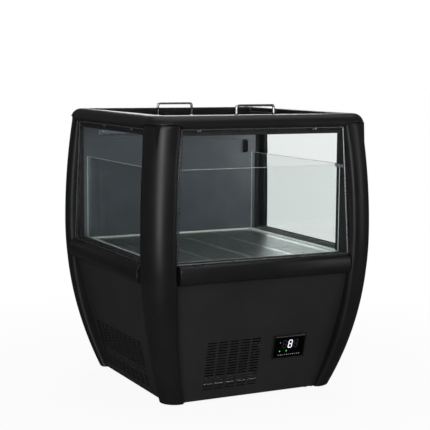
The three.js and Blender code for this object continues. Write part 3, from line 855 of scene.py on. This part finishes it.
glazing = {
    "foot": 0.4315, "head": 0.8127, "thickness": 0.006, "inset": 0.014, "arris": 0.0006, "trim": 0.0036,
    "trimDepth": 0.003, "trimLift": 0.0002, "gasket": 0.0022, "sealLift": 0.0001, "sealDepth": 0.0012,
    "foldRound": 0.0007,
}


def edgeFaces(piece, look, across):
    # a pane's narrow faces take the polished-edge finish, and its broad faces stay clear
    piece.data.materials.append(finishes[look])
    piece.data.materials.append(finishes["edge"])
    for face in piece.data.polygons:
        face.material_index = 0 if abs(face.normal.dot(across)) > 0.9 else 1


def makeOuterGlass():
    low, high = glazing["foot"], glazing["head"]
    slope = slopeOf(low, high)
    for side in ("front", "left", "right"):
        piece = flatSheet("glass_pane_" + side, low, high, glazing["thickness"], glazing["inset"])
        softenEdges(piece, glazing["arris"], steps=1)
        edgeFaces(piece, "glass", Vector((0, 0, 1)))
        piece.data.transform(onSlope(side, low, high))
        finishPiece(piece, "cabinet", [], "glass_" + side, crease=25)

        # an anodised angle round the pane, mitred at its corners, and the black seal inside it
        foot, head = outline(low) - armAt(low) - 0.001, outline(high) - armAt(high) - 0.001
        strips = [("glass_trim_", "anodised", "aluminium", 0.0, glazing["trim"], glazing["trimLift"],
                   glazing["trimDepth"]), ("glass_seal_", "rubber", "grey_rubber", glazing["trim"],
                                           glazing["gasket"], glazing["sealLift"], glazing["sealDepth"])]
        for name, look, slotName, start, width, base, depth in strips:
            shape = bmesh.new()
            r = glazing["foldRound"] if look == "anodised" else 0.0004
            section = [(0, base), (0, base + depth - r), (r, base + depth), (width - r, base + depth),
                       (width, base + depth - r), (width, base)]
            rings = []
            for sx, sv in [(-1, 0), (1, 0), (1, 1), (-1, 1)]:
                ring = []
                for inward, out in section:
                    way = start + inward
                    reach = (foot if sv == 0 else head) - way
                    ring.append((sx * reach, way if sv == 0 else slope - way, out))
                rings.append(ring)
            addLoft(shape, rings, closed=True)
            piece = fromBmesh(name + side, shape)
            piece.data.transform(onSlope(side, low, high))
            replaced = "trim_" + side if look == "anodised" else ()
            finishPiece(piece, "cabinet", look, replaced, crease=25)
    print("outer glass made")


clips = {"width": 0.012, "height": 0.009, "depth": 0.0032, "screw": 0.0026,
         "front": (-0.211, 0.165), "left": (0.162, -0.05), "right": (-0.11, 0.16)}


def makeGlassClips():
    # small bright clips under the rim that hold each pane's head
    low, high = glazing["foot"], glazing["head"]
    slope = slopeOf(low, high)
    for side in ("front", "left", "right"):
        shape = bmesh.new()
        for across in clips[side]:
            w, h, d = clips["width"] / 2, clips["height"], clips["depth"]
            addBox(shape, (across - w, slope - h, 0.0002), (across + w, slope - 0.0005, d), 0.0008)
            addLathe(shape, [(0, d - 0.0005), (clips["screw"], d - 0.0005), (clips["screw"], d + 0.0006),
                             (clips["screw"] * 0.6, d + 0.0011), (0, d + 0.0012)],
                     (across, slope - h / 2, 0), sides=16)
        piece = fromBmesh("glass_clips_" + side, shape)
        piece.data.transform(onSlope(side, low, high))
        finishPiece(piece, "cabinet", "zinc")


def makeInnerGlass():
    for name, across in (("front", Vector((0, 1, 0))), ("left", Vector((1, 0, 0))),
                         ("right", Vector((1, 0, 0)))):
        low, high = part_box("inner_glass_" + name)
        shape = bmesh.new()
        addBox(shape, low, high, 0.0008, 1)
        piece = fromBmesh("inner_pane_" + name, shape)
        edgeFaces(piece, "innerGlass", across)
        finishPiece(piece, "cabinet", [], "inner_glass_" + name, crease=25)


paneClip = {
    "face": 0.2797, "thickness": 0.003, "far": 0.33, "pane": (0.2972, 0.3028), "low": 0.688,
    "bridge": 0.6963, "high": 0.699,
}


def makePaneClips():
    # bright angle brackets that tie the low panes to the corner columns
    low, bridge, high = paneClip["low"], paneClip["bridge"], paneClip["high"]
    face, far = paneClip["face"], paneClip["far"]
    inside, (paneIn, paneOut) = face - paneClip["thickness"], paneClip["pane"]
    for side, sign in (("left", -1), ("right", 1)):
        shape = bmesh.new()
        for (x0, x1), (y0, y1), foot in (((inside, face), (paneOut, far), low),
                                         ((inside, face), (inside, paneIn), low),
                                         ((inside, face), (inside, far), bridge),
                                         ((inside, paneIn), (inside, face), low)):
            xs = sorted((sign * x0, sign * x1))
            addBox(shape, (xs[0], -y1, foot), (xs[1], -y0, high), 0.0005)
        finishPiece(fromBmesh("pane_clip_" + side, shape), "cabinet", "anodised")


# ---- rear wall, lamp and probe ----

screw = {"head": 0.0042, "rise": 0.0022, "recess": 0.0011, "arm": 0.0026, "slotWidth": 0.0009}


def screwTree():
    # pan-head screws with a cross recess, one on each point given, facing that point's normal
    tree, given = newTree("screws", {
        "Float": ("Head Radius", "Rise", "Recess Arm", "Recess Width", "Recess Depth")})
    ball = addNode(tree, "GeometryNodeMeshUVSphere", links={"Radius": given["Head Radius"]}, Segments=20,
                   Rings=10)
    squash = addNode(tree, "ShaderNodeMath", links={0: given["Rise"], 1: given["Head Radius"]},
                     operation="DIVIDE")
    flat = addNode(tree, "ShaderNodeCombineXYZ", links={"Z": squash}, X=1.0, Y=1.0)
    dome = addNode(tree, "GeometryNodeTransform", links={"Geometry": ball, "Scale": flat})
    long = addNode(tree, "ShaderNodeCombineXYZ", links={"X": given["Recess Arm"],
                                                        "Y": given["Recess Width"],
                                                        "Z": given["Recess Depth"]})
    bar = addNode(tree, "GeometryNodeMeshCube", links={"Size": long})
    lift = addNode(tree, "ShaderNodeCombineXYZ", links={"Z": given["Rise"]})
    first = addNode(tree, "GeometryNodeTransform", links={"Geometry": bar, "Translation": lift})
    second = addNode(tree, "GeometryNodeTransform", links={"Geometry": first}, Rotation=(0, 0, math.pi / 2))
    cut = addNode(tree, "GeometryNodeMeshBoolean", links={"Mesh 1": dome}, operation="DIFFERENCE",
                  solver="EXACT")
    tree.links.new(first.outputs[0], cut.inputs["Mesh 2"])
    tree.links.new(second.outputs[0], cut.inputs["Mesh 2"])
    normal = addNode(tree, "GeometryNodeInputNamedAttribute", data_type="FLOAT_VECTOR", Name="facing")
    turn = addNode(tree, "FunctionNodeAlignRotationToVector", links={"Vector": normal}, axis="Z")
    spread = addNode(tree, "GeometryNodeInstanceOnPoints",
                     links={"Points": given["Geometry"], "Instance": cut, "Rotation": turn})
    return closeTree(tree, given, spread)


def makeScrews(name, body, places, look="zinc", scale=1.0):
    # places: (point, direction that the head faces) pairs
    piece = newMesh(name, [p for p, _ in places], [])
    facing = piece.data.attributes.new("facing", "FLOAT_VECTOR", "POINT")
    facing.data.foreach_set("vector", [c for _, n in places for c in n])
    useNodes(piece, screws, {"Head Radius": screw["head"] * scale, "Rise": screw["rise"] * scale,
                             "Recess Arm": screw["arm"] * 2 * scale,
                             "Recess Width": screw["slotWidth"] * scale,
                             "Recess Depth": screw["recess"] * 2 * scale, "Material": finishes[look]})
    return finishPiece(piece, body, look, crease=30)


screws = screwTree()
lamp = {"holderDepth": 0.004, "endCap": 0.012}
edgeChannel = {"cover": 0.014, "proud": 0.0015, "depth": 0.012}
probe = {"x": 0.272, "z": (0.694, 0.739), "width": 0.014, "depth": 0.012, "ribs": 5}


def makeRear():
    low, high = glazing["foot"], glazing["head"]
    piece = flatSheet("rear_skin_sheet", low, high, sheets["thickness"], glazing["inset"])
    softenEdges(piece, sheets["edge"])
    piece.data.transform(onSlope("rear", low, high))
    finishPiece(piece, "cabinet", "powder", "rear_skin")
    place, slope = onSlope("rear", low, high), slopeOf(low, high)
    out = place.to_3x3() @ Vector((0, 0, 1))
    spots = [(x, v) for v in (0.014, slope - 0.016) for x in (-0.22, -0.075, 0.075, 0.22)]
    makeScrews("rear_skin_screws", "cabinet", [(place @ Vector((x, v, 0)), out) for x, v in spots])
    low, high = form["skirt"], form["railBottom"] - 0.0005
    place, slope = onSlope("rear", low, high), slopeOf(low, high)
    out = place.to_3x3() @ Vector((0, 0, 1))
    spots = [(x, v) for v, w in ((0.014, 0.17), (slope - 0.02, 0.235)) for x in (-w, 0, w)]
    makeScrews("rear_panel_screws", "cabinet", [(place @ Vector((x, v, 0)), out) for x, v in spots])

    low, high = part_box("rear_wall")
    shape = bmesh.new()
    addBox(shape, low, high, 0.004, 4)
    finishPiece(fromBmesh("rear_wall_liner", shape), "cabinet", "liner", "rear_wall")
    shape = bmesh.new()
    addBox(shape, (low.x + 0.02, low.y - 0.0012, 0.7395), (high.x - 0.02, low.y + 0.001, 0.7425), 0.0006)
    finishPiece(fromBmesh("liner_joint_strip", shape), "cabinet", "liner")

    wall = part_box("rear_wall")
    shape = bmesh.new()
    for sign in (-1, 1):
        xs = sorted((sign * (wall[1].x + 0.0015), sign * (wall[1].x - edgeChannel["cover"])))
        front = wall[0].y - edgeChannel["proud"]
        addBox(shape, (xs[0], front, wall[0].z), (xs[1], wall[0].y + edgeChannel["depth"],
                                                  wall[1].z - 0.0002), 0.0012)
    finishPiece(fromBmesh("liner_edge_channels", shape), "cabinet", "rubber")

    low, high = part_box("led_bar")
    shape = bmesh.new()
    addBox(shape, (low.x, high.y - lamp["holderDepth"], low.z), high, 0.001)
    for x in (low.x, high.x - lamp["endCap"]):
        addBox(shape, (x, low.y, low.z), (x + lamp["endCap"], high.y, high.z), 0.002)
    finishPiece(fromBmesh("lamp_holder", shape), "cabinet", "anodised", "led_bar")
    shape = bmesh.new()
    inner = lamp["endCap"] - 0.001
    ring = [(high.y - lamp["holderDepth"], low.z + 0.0015)]
    ring += [(high.y - lamp["holderDepth"] + c, low.z + 0.008 + s)
             for c, s in arc(0, 0, 0.0055, -math.pi / 2, -3 * math.pi / 2, 14)]
    ring += [(high.y - lamp["holderDepth"], high.z - 0.0015)]
    addLoft(shape, [[(x, y, z) for y, z in ring] for x in (low.x + inner, high.x - inner)])
    finishPiece(fromBmesh("lamp_diffuser", shape), "cabinet", "diffuser")

    shape = bmesh.new()
    x, (z0, z1), w, d = probe["x"], probe["z"], probe["width"] / 2, probe["depth"]
    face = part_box("rear_wall")[0].y
    addBox(shape, (x - w, face - 0.0025, z0), (x + w, face + 0.0005, z1), 0.001)
    for i in range(probe["ribs"]):
        z = z0 + 0.006 + (z1 - z0 - 0.012) * i / (probe["ribs"] - 1)
        addBox(shape, (x - w + 0.002, face - d, z - 0.0012), (x + w - 0.002, face - 0.002, z + 0.0012),
               0.0006)
    for dx in (-1, 1):
        addBox(shape, (x + dx * (w - 0.002) - 0.001, face - d, z0 + 0.004),
               (x + dx * (w - 0.002) + 0.001, face - 0.002, z1 - 0.004), 0.0005)
    finishPiece(fromBmesh("probe_cover", shape), "cabinet", "abs")
    print("rear made")


# ---- the cold well ----

deck = {
    "length": 0.118, "height": 0.005, "across": 0.134, "up": 0.0098, "start": (-0.26, -0.262),
    "count": (4, 54),
}


sill = {"low": 0.4312, "high": 0.4325, "inner": 0.3031, "outer": 0.3432, "front": 0.2797, "back": 0.2915}


def makeWell():
    finishPiece(mergedCopy("tub", "well_liner", 0.003, 3), "cabinet", "polystyrene", "tub")
    low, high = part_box("deck")
    points = [(x, y, z) for z in (low.z - high.z, 0) for x, y in
              ((low.x, low.y), (high.x, low.y), (high.x, high.y), (low.x, high.y))]
    faces = [(3, 2, 1, 0), (4, 5, 6, 7)] + [(i, (i + 1) % 4, (i + 1) % 4 + 4, i + 4) for i in range(4)]
    piece = slotted(newMesh("deck_plate", points, faces), deck, "stainless")
    piece.data.transform(Matrix.Translation((0, 0, high.z)))
    finishPiece(piece, "cabinet", "stainless", "deck")

    # dark sills over the foam's edge, between the low panes and the outer glass
    shape = bmesh.new()
    inner, outer, z0, z1 = sill["inner"], sill["outer"], sill["low"], sill["high"]
    addBox(shape, (-sill["front"], -outer, z0), (sill["front"], -inner, z1), 0.0004)
    for sign in (-1, 1):
        xs = sorted((sign * inner, sign * outer))
        addBox(shape, (xs[0], -sill["front"], z0), (xs[1], sill["back"], z1), 0.0004)
    finishPiece(fromBmesh("foam_edge_sills", shape), "cabinet", "rubber")
    print("well made")


# ---- finned coils and fans ----

def finTree():
    # a row of thin fins along X between two end plates, made to a size
    tree, given = newTree("fin_pack", {"Vector": ("Size", "Centre"), "Float": ("Pitch", "Thickness")})
    size = addNode(tree, "ShaderNodeSeparateXYZ", links={0: given["Size"]})
    ratio = addNode(tree, "ShaderNodeMath", links={0: size.outputs["X"], 1: given["Pitch"]},
                    operation="DIVIDE")
    count = addNode(tree, "ShaderNodeMath", links={0: ratio}, operation="FLOOR")
    half = addNode(tree, "ShaderNodeMath", links={0: size.outputs["X"]}, operation="MULTIPLY")
    half.inputs[1].default_value = 0.5
    other = addNode(tree, "ShaderNodeMath", links={0: half}, operation="MULTIPLY")
    other.inputs[1].default_value = -1.0
    start = addNode(tree, "ShaderNodeCombineXYZ", links={"X": other})
    end = addNode(tree, "ShaderNodeCombineXYZ", links={"X": half})
    line = addNode(tree, "GeometryNodeMeshLine", links={"Count": count, "Start Location": start,
                                                       "Offset": end}, mode="END_POINTS")
    thin = addNode(tree, "ShaderNodeCombineXYZ", links={"X": given["Thickness"], "Y": size.outputs["Y"],
                                                       "Z": size.outputs["Z"]})
    plate = addNode(tree, "GeometryNodeMeshCube", links={"Size": thin})
    spread = addNode(tree, "GeometryNodeInstanceOnPoints", links={"Points": line,
                                                                 "Instance": plate})
    moved = addNode(tree, "GeometryNodeTransform", links={"Geometry": spread,
                                                          "Translation": given["Centre"]})
    return closeTree(tree, given, moved)


fins = finTree()
coils = {
    # fin pitch and thickness, the plates at the ends, and the tube's rows (depth) and passes (height)
    "condenser": {"pitch": 0.0034, "fin": 0.0006, "plate": 0.0015, "tube": 0.0046, "rows": 1, "passes": 7,
                  "look": "enamel"},
    "evaporator": {"pitch": 0.006, "fin": 0.0006, "plate": 0.0015, "tube": 0.0046, "rows": 5, "passes": 2,
                   "look": "fin"},
}


def makeCoil(node):
    coil = coils[node]
    low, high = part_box(node)
    bend = coil["tube"] + 0.006
    size = Vector((high.x - low.x - 2 * bend, high.y - low.y, high.z - low.z))
    centre = (low + high) / 2
    piece = useNodes(newMesh(node + "_fins", [centre], []), fins,
                     {"Size": tuple(size - Vector((0.003, 0.002, 0.002))), "Centre": tuple(centre),
                      "Pitch": coil["pitch"], "Thickness": coil["fin"], "Material": finishes["fin"]})
    finishPiece(piece, "cabinet", "fin", node)
    shape = bmesh.new()
    for x in (low.x + bend, high.x - bend):
        addBox(shape, (x - coil["plate"] / 2, low.y, low.z), (x + coil["plate"] / 2, high.y, high.z),
               0.0005)
    finishPiece(fromBmesh(node + "_end_plates", shape), "cabinet", "galvanised")
    shape = bmesh.new()
    rows, passes = coil["rows"], coil["passes"]
    left, right = low.x + coil["tube"], high.x - coil["tube"]
    for row in range(rows):
        y = low.y + (high.y - low.y) * (row + 0.5) / rows
        heights = [low.z + (high.z - low.z) * (i + 0.5) / passes for i in range(passes)]
        route = []
        for i, z in enumerate(heights):
            ends = (left, right) if i % 2 == 0 else (right, left)
            route += [(ends[0], y, z), (ends[1], y, z)]
        step = (high.z - low.z) / passes
        addTube(shape, roundedPath(route, min(0.4 * step, 0.02 if passes < 3 else 0.4 * step), 5),
                coil["tube"], 10)
    finishPiece(fromBmesh(node + "_tubes", shape), "cabinet", "copper", crease=50)


blades = {"condenser_fan_blade": {"body": "condenser_fan", "axis": "y", "count": 5, "hub": 0.018,
                                  "look": "anodised", "slot": "aluminium", "pitch": 0.5, "camber": 0.006},
          "evaporator_fan_blade": {"body": "evaporator_fan", "axis": "z", "count": 5, "hub": 0.014,
                                   "look": "abs", "slot": "black_moulding", "pitch": 0.45, "camber": 0.005}}


def makeFan(node):
    # sickle blades, twisted from root to tip and cambered, on a domed hub
    fan = blades[node]
    low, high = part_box(node)
    centre = (low + high) / 2
    tip = (high.x - low.x) / 2 - 0.0005
    thick = (high.y - low.y if fan["axis"] == "y" else high.z - low.z) / 2
    shape = bmesh.new()
    hub = fan["hub"]
    addLathe(shape, [(0, -thick * 0.9), (hub * 0.7, -thick * 0.9), (hub * 0.94, -thick * 0.75),
                     (hub, -thick * 0.5), (hub, thick * 0.6), (hub * 0.9, thick * 0.8),
                     (hub * 0.6, thick * 0.9), (0, thick * 0.92)], (0, 0, 0), sides=32)
    stations, chordSteps = 8, 10
    for k in range(fan["count"]):
        rings = []
        for s in range(stations + 1):
            share = s / stations
            radius = hub * 0.9 + (tip - hub * 0.9) * share
            belly = math.sin(math.pi * min(share * 0.62 + 0.12, 1.0))
            wide = 0.62 * hub * 2 + (tip * 0.62 - hub * 0.8) * belly
            pitch = fan["pitch"] * (1.15 - 0.5 * share)
            sweep = 0.35 * share * share
            top, bottom = [], []
            for c in range(chordSteps + 1):
                t = c / chordSteps - 0.5
                along = t * wide / radius + sweep + 2 * math.pi * k / fan["count"]
                height = t * wide * math.tan(pitch) * 0.8 + fan["camber"] * (0.25 - t * t)
                height = max(-thick + 0.0012, min(thick - 0.0012, height))
                wall = 0.0007 * (1 - (2 * t) ** 4) + 0.0002
                top.append((radius * math.cos(along), radius * math.sin(along), height + wall))
                bottom.append((radius * math.cos(along), radius * math.sin(along), height - wall))
            rings.append(top + bottom[::-1])
        addLoft(shape, rings)
    piece = fromBmesh(node + "_wheel", shape)
    turn = Matrix.Rotation(math.pi / 2, 4, "X") if fan["axis"] == "y" else Matrix.Identity(4)
    piece.data.transform(Matrix.Translation(centre) @ turn)
    finishPiece(piece, fan["body"], fan["look"], node, crease=40)


# ---- machinery ----

machine = {
    "tank": (0.07, 0.09), "tankSides": 56, "weldRise": 0.0018,
    "pipeStart": (0.07, 0.09, 0.232), "pipeEnd": (-0.072, -0.201, 0.242), "pipe": 0.004, "pipeBend": 0.022,
    "pipeHead": 0.0045,
}


def makeMachinery():
    finishPiece(mergedCopy("chassis_tray", "chassis_base", 0.0006), "cabinet", "galvanised",
                "chassis_tray")
    finishPiece(mergedCopy("drip_tray", "drip_tray_moulding", 0.0015, 3), "cabinet",
                "abs", "drip_tray")
    finishPiece(mergedCopy("evaporator_cover", "fan_deck_cover", 0.0006), "cabinet", "liner",
                "evaporator_cover")
    finishPiece(mergedCopy("condenser_fan_shroud", "fan_shroud", 0.0008), "cabinet",
                "galvanised", "condenser_fan_shroud")
    for node in coils:
        makeCoil(node)
    for node in blades:
        makeFan(node)

    low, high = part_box("compressor")
    centre = Vector((*machine["tank"], low.z))
    rise = machine["weldRise"]
    shell = [(0, 0.02), (0.03, 0.0195), (0.05, 0.021), (0.061, 0.026), (0.068, 0.035), (0.0718, 0.048),
             (0.072, 0.06), (0.072, 0.092), (0.0735, 0.0932), (0.0735 + rise, 0.0945),
             (0.0735 + rise, 0.0975), (0.0735, 0.0988), (0.072, 0.1), (0.072, 0.128), (0.0705, 0.138),
             (0.066, 0.148), (0.057, 0.1565), (0.045, 0.162), (0.028, 0.1652), (0, 0.166)]
    shape = bmesh.new()
    addLathe(shape, shell, centre, sides=machine["tankSides"])
    addBox(shape, (centre.x - 0.095, 0.03, low.z + 0.0005), (centre.x + 0.095, 0.15, low.z + 0.004), 0.001)
    addBox(shape, (centre.x + 0.055, 0.068, low.z + 0.068), (centre.x + 0.09, 0.112, low.z + 0.12), 0.006,
           4)
    for dx, dy in ((-1, -1), (1, -1), (1, 1), (-1, 1)):
        addTube(shape, [(centre.x + dx * 0.055, centre.y + dy * 0.03, low.z + 0.003),
                        (centre.x + dx * 0.05, centre.y + dy * 0.028, low.z + 0.03)], 0.006, 10)
    finishPiece(fromBmesh("compressor_shell", shape), "cabinet", "enamel", "compressor",
                crease=50)
    feet = [(Vector((centre.x + dx * 0.083, centre.y + dy * 0.048, low.z + 0.004)), Vector((0, 0, 1)))
            for dx in (-1, 1) for dy in (-1, 1)]
    makeScrews("compressor_bolts", "cabinet", feet, scale=1.5)

    low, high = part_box("discharge_pipe")
    start, end = Vector(machine["pipeStart"]), Vector(machine["pipeEnd"])
    crest = high.z - machine["pipeHead"]
    route = [start, start + Vector((0, 0, crest - start.z)), Vector((end.x, end.y, crest)), end]
    shape = bmesh.new()
    addTube(shape, roundedPath(route, machine["pipeBend"], 8), machine["pipe"], 14)
    finishPiece(fromBmesh("copper_pipe", shape), "cabinet", "copper", "discharge_pipe", crease=60)
    print("machinery made")


# ---- sliding lids ----

lids = {
    "front": {"body": "front_lid"}, "rear": {"body": "rear_lid"},
    "bar": 0.016, "edge": 0.0012, "bow": 0.0042, "bend": 0.009, "flange": 0.0075, "sides": 18,
    "screwInboard": 0.034, "screwInset": 0.0045,
}


def makeLids():
    for name in ("front", "rear"):
        body = lids[name]["body"]
        piece = mergedCopy("lid_" + name + "_frame", "lid_frame_" + name, lids["edge"], 2)
        finishPiece(piece, body, "anodised", "lid_" + name + "_frame")
        low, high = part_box("lid_" + name + "_frame")
        inboard, inset = lids["screwInboard"], lids["screwInset"]
        corners = [(Vector((x, y, high.z - 0.0004)), Vector((0, 0, 1)))
                   for x in (low.x + inboard, high.x - inboard) for y in (low.y + inset, high.y - inset)]
        makeScrews("lid_screws_" + name, body, corners, scale=0.55)
        low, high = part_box("lid_" + name + "_glass")
        shape = bmesh.new()
        addBox(shape, low, high, 0.0006, 1)
        piece = fromBmesh("lid_pane_" + name, shape)
        edgeFaces(piece, "glass", Vector((0, 0, 1)))
        finishPiece(piece, body, [], "lid_" + name + "_glass", crease=25)

        low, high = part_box("lid_" + name + "_handle")
        y, r, flange = (low.y + high.y) / 2, lids["bow"], lids["flange"]
        left, right, crest = low.x + flange, high.x - flange, high.z - r
        route = [(left, y, low.z + 0.0008), (left, y, crest), (right, y, crest), (right, y, low.z + 0.0008)]
        shape = bmesh.new()
        addTube(shape, roundedPath(route, lids["bend"], 10), r, lids["sides"])
        for x in (left, right):
            addLathe(shape, [(0, 0), (flange - 0.0004, 0), (flange, 0.0004), (flange, 0.0016),
                             (flange - 0.0006, 0.0023), (r + 0.0012, 0.0028), (r + 0.0003, 0.0042),
                             (0, 0.0042)], (x, y, low.z), sides=32)
        finishPiece(fromBmesh("bow_handle_" + name, shape), body, "chrome",
                    "lid_" + name + "_handle", crease=50)
    for side in ("left", "right"):
        piece = mergedCopy("track_" + side, "lid_track_" + side, 0.0005)
        finishPiece(piece, "cabinet", "nylon", "track_" + side)
    low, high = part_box("lid_lock")
    centre = (low + high) / 2
    tall = high.z - low.z
    shape = bmesh.new()
    addLathe(shape, [(0, 0), (0.0078, 0), (0.008, 0.0005), (0.008, 0.0014), (0.0072, 0.002),
                     (0.0056, 0.0022), (0.0055, tall - 0.0008), (0.0048, tall), (0.0022, tall),
                     (0.0022, tall - 0.0012), (0, tall - 0.0012)], (centre.x, centre.y, low.z), sides=36)
    finishPiece(fromBmesh("rim_lock", shape), "cabinet", "chrome", "lid_lock", crease=30)
    print("lids made")


# ---- thermostat display ----

display = {"middle": (0.113, 0.147), "size": (0.104, 0.068), "digitHeight": 0.026, "digitWidth": 0.0135,
           "bar": 0.0023, "lean": 0.09, "step": 0.019, "top": 0.0037, "lift": 0.009}
segments = {
    "a": (0, 1, "h"), "b": (1, 0.5, "v"), "c": (1, -0.5, "v"), "d": (0, -1, "h"), "e": (-1, -0.5, "v"),
    "f": (-1, 0.5, "v"), "g": (0, 0, "h"),
}


def addBar(shape, centre, length, width, turned, top):
    # one pointed bar of a seven-segment digit, standing 0.2 mm off the window
    half, w = length / 2 - 0.0004, width / 2
    flat = [(-half, 0), (-half + w, w), (half - w, w), (half, 0), (half - w, -w), (-half + w, -w)]
    if turned:
        flat = [(y, x) for x, y in reversed(flat)]
    flat = [(centre[0] + x + display["lean"] * (centre[1] + y - display["middle"][1]), centre[1] + y)
            for x, y in flat]
    addLoft(shape, [[(x, y, z) for x, y in flat] for z in (top - 0.0004, top)])


def addDigit(shape, x, y, lit, top):
    w, h = display["digitWidth"] / 2, display["digitHeight"] / 2
    for name in lit:
        sx, sy, way = segments[name]
        place = (x + sx * (w - display["bar"] / 2), y + sy * (h - display["bar"] / 2))
        span = display["digitWidth"] - display["bar"] if way == "h" else h - display["bar"] / 2
        addBar(shape, place, span, display["bar"], way == "v", top)


def makeDisplay():
    low, high = form["skirt"], form["railBottom"]
    place = onSlope("front", low, high)
    finishPiece(mergedCopy("display_housing", "display_bezel", 0.0008), "cabinet", "abs",
                "display_housing")
    (cx, cy), (w, h) = display["middle"], display["size"]
    shape = bmesh.new()
    addBox(shape, (cx - w / 2 + 0.0003, cy - h / 2 + 0.0003, 0.0018),
           (cx + w / 2 - 0.0003, cy + h / 2 - 0.0003, 0.0035), 0.0006)
    piece = fromBmesh("display_glass_window", shape)
    piece.data.transform(place)
    finishPiece(piece, "cabinet", "acrylic", "display_window")

    top, rise = display["top"], display["lift"]
    lit, dim, green, marks = bmesh.new(), bmesh.new(), bmesh.new(), bmesh.new()
    addDigit(lit, cx + 0.002, cy + rise, "abcdefg", top)
    for x in (cx + 0.002 - display["step"], cx + 0.002 + display["step"]):
        addDigit(dim, x, cy + rise, "abcdefg", top)
    for x in (-0.031, -0.008):
        addLathe(green, [(0, top - 0.0004), (0.0018, top - 0.0004), (0.0018, top), (0, top)],
                 (cx + x, cy - 0.013, 0), sides=16)
    for i in range(11):
        wide = (0.0022, 0.0034, 0.0018)[i % 3]
        x = cx - 0.036 + i * 0.0071
        addBox(marks, (x, cy - 0.0265, top - 0.0004), (x + wide, cy - 0.0245, top), 0.0)
    addBox(marks, (cx - 0.033, cy + 0.0135, top - 0.0004), (cx - 0.0312, cy + 0.0165, top))
    for name, shape, look in (("display_digit_lit", lit, "digit"), ("display_digits_unlit", dim, "ghost"),
                              ("display_lamps_green", green, "green"),
                              ("display_scale_marks", marks, "mark")):
        piece = fromBmesh(name, shape)
        piece.data.transform(place)
        finishPiece(piece, "cabinet", look)
    shape = bmesh.new()
    addBox(shape, (cx - w / 2 + 0.002, cy + h / 2 - 0.0012, 0.0038),
           (cx + w / 2 - 0.002, cy + h / 2 + 0.0024, 0.0046), 0.0003)
    piece = fromBmesh("display_top_bead", shape)
    piece.data.transform(place)
    finishPiece(piece, "cabinet", "anodised")
    print("display made")


# ---- mains inlet and castors ----

def makeInlet():
    piece = mergedCopy("power_inlet", "mains_inlet", 0.0006)
    finishPiece(piece, "cabinet", "abs", "power_inlet")
    place = onSlope("rear", form["skirt"], form["railBottom"])
    x, y = sheets["windows"]["rear"][0]
    out = place.to_3x3() @ Vector((0, 0, 1))
    makeScrews("inlet_screws", "cabinet", [(place @ Vector((x + s * 0.021, y, 0.003)), out)
                                           for s in (-1, 1)], scale=0.7)
    shape = bmesh.new()
    for dx in (-0.007, 0, 0.007):
        addBox(shape, (x + dx - 0.0012, y - 0.0032, -0.017), (x + dx + 0.0012, y + 0.0032, -0.0078), 0.0006)
    piece = fromBmesh("inlet_pins", shape)
    piece.data.transform(place)
    finishPiece(piece, "cabinet", "zinc")


castor = {"trail": 0.014, "wheel": 0.022, "sides": 48}


def makeCastor(corner):
    low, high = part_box("wheels_" + corner)
    centre = (low + high) / 2
    r = castor["wheel"]
    side = [(0.0, 0.019), (0.0045, 0.0192), (0.006, 0.0176), (0.0115, 0.0172), (0.0128, 0.0186),
            (0.0165, 0.019), (0.0186, 0.0184), (0.0205, 0.0168), (0.0217, 0.0145), (r, 0.0125), (r, 0.0095),
            (0.0216, 0.0075), (0.0202, 0.0056), (0.0185, 0.005), (0.0032, 0.005)]
    profile = [(a, -b) for a, b in side] + [(a, b) for a, b in reversed(side)]
    shape = bmesh.new()
    addLathe(shape, profile, centre, "x", castor["sides"])
    finishPiece(fromBmesh("castor_wheels_" + corner, shape), "wheels_" + corner, "nylon",
                "wheels_" + corner, crease=30)
    piece = mergedCopy("castor_" + corner, "castor_body_" + corner, 0.001, 2)
    finishPiece(piece, "castor_" + corner, "abs", "castor_" + corner)
    shape = bmesh.new()
    axis = Vector((centre.x, centre.y + castor["trail"], 0))
    addLathe(shape, [(0, 0.0503), (0.0135, 0.0503), (0.014, 0.0508), (0.014, 0.0512), (0, 0.0512)], axis,
             sides=32)
    finishPiece(fromBmesh("castor_race_" + corner, shape), "castor_" + corner, "zinc")


# ---- the whole cabinet ----

placeCamera()
makeStage()
makePosts()
makeRim()
makeRails()
makeColumns()
makeSlotShadeSheets()
makePanels()
makeOuterGlass()
makeGlassClips()
makeInnerGlass()
makePaneClips()
makeRear()
makeWell()
makeMachinery()
makeLids()
makeDisplay()
makeInlet()
for corner in ("front_left", "front_right", "rear_left", "rear_right"):
    makeCastor(corner)
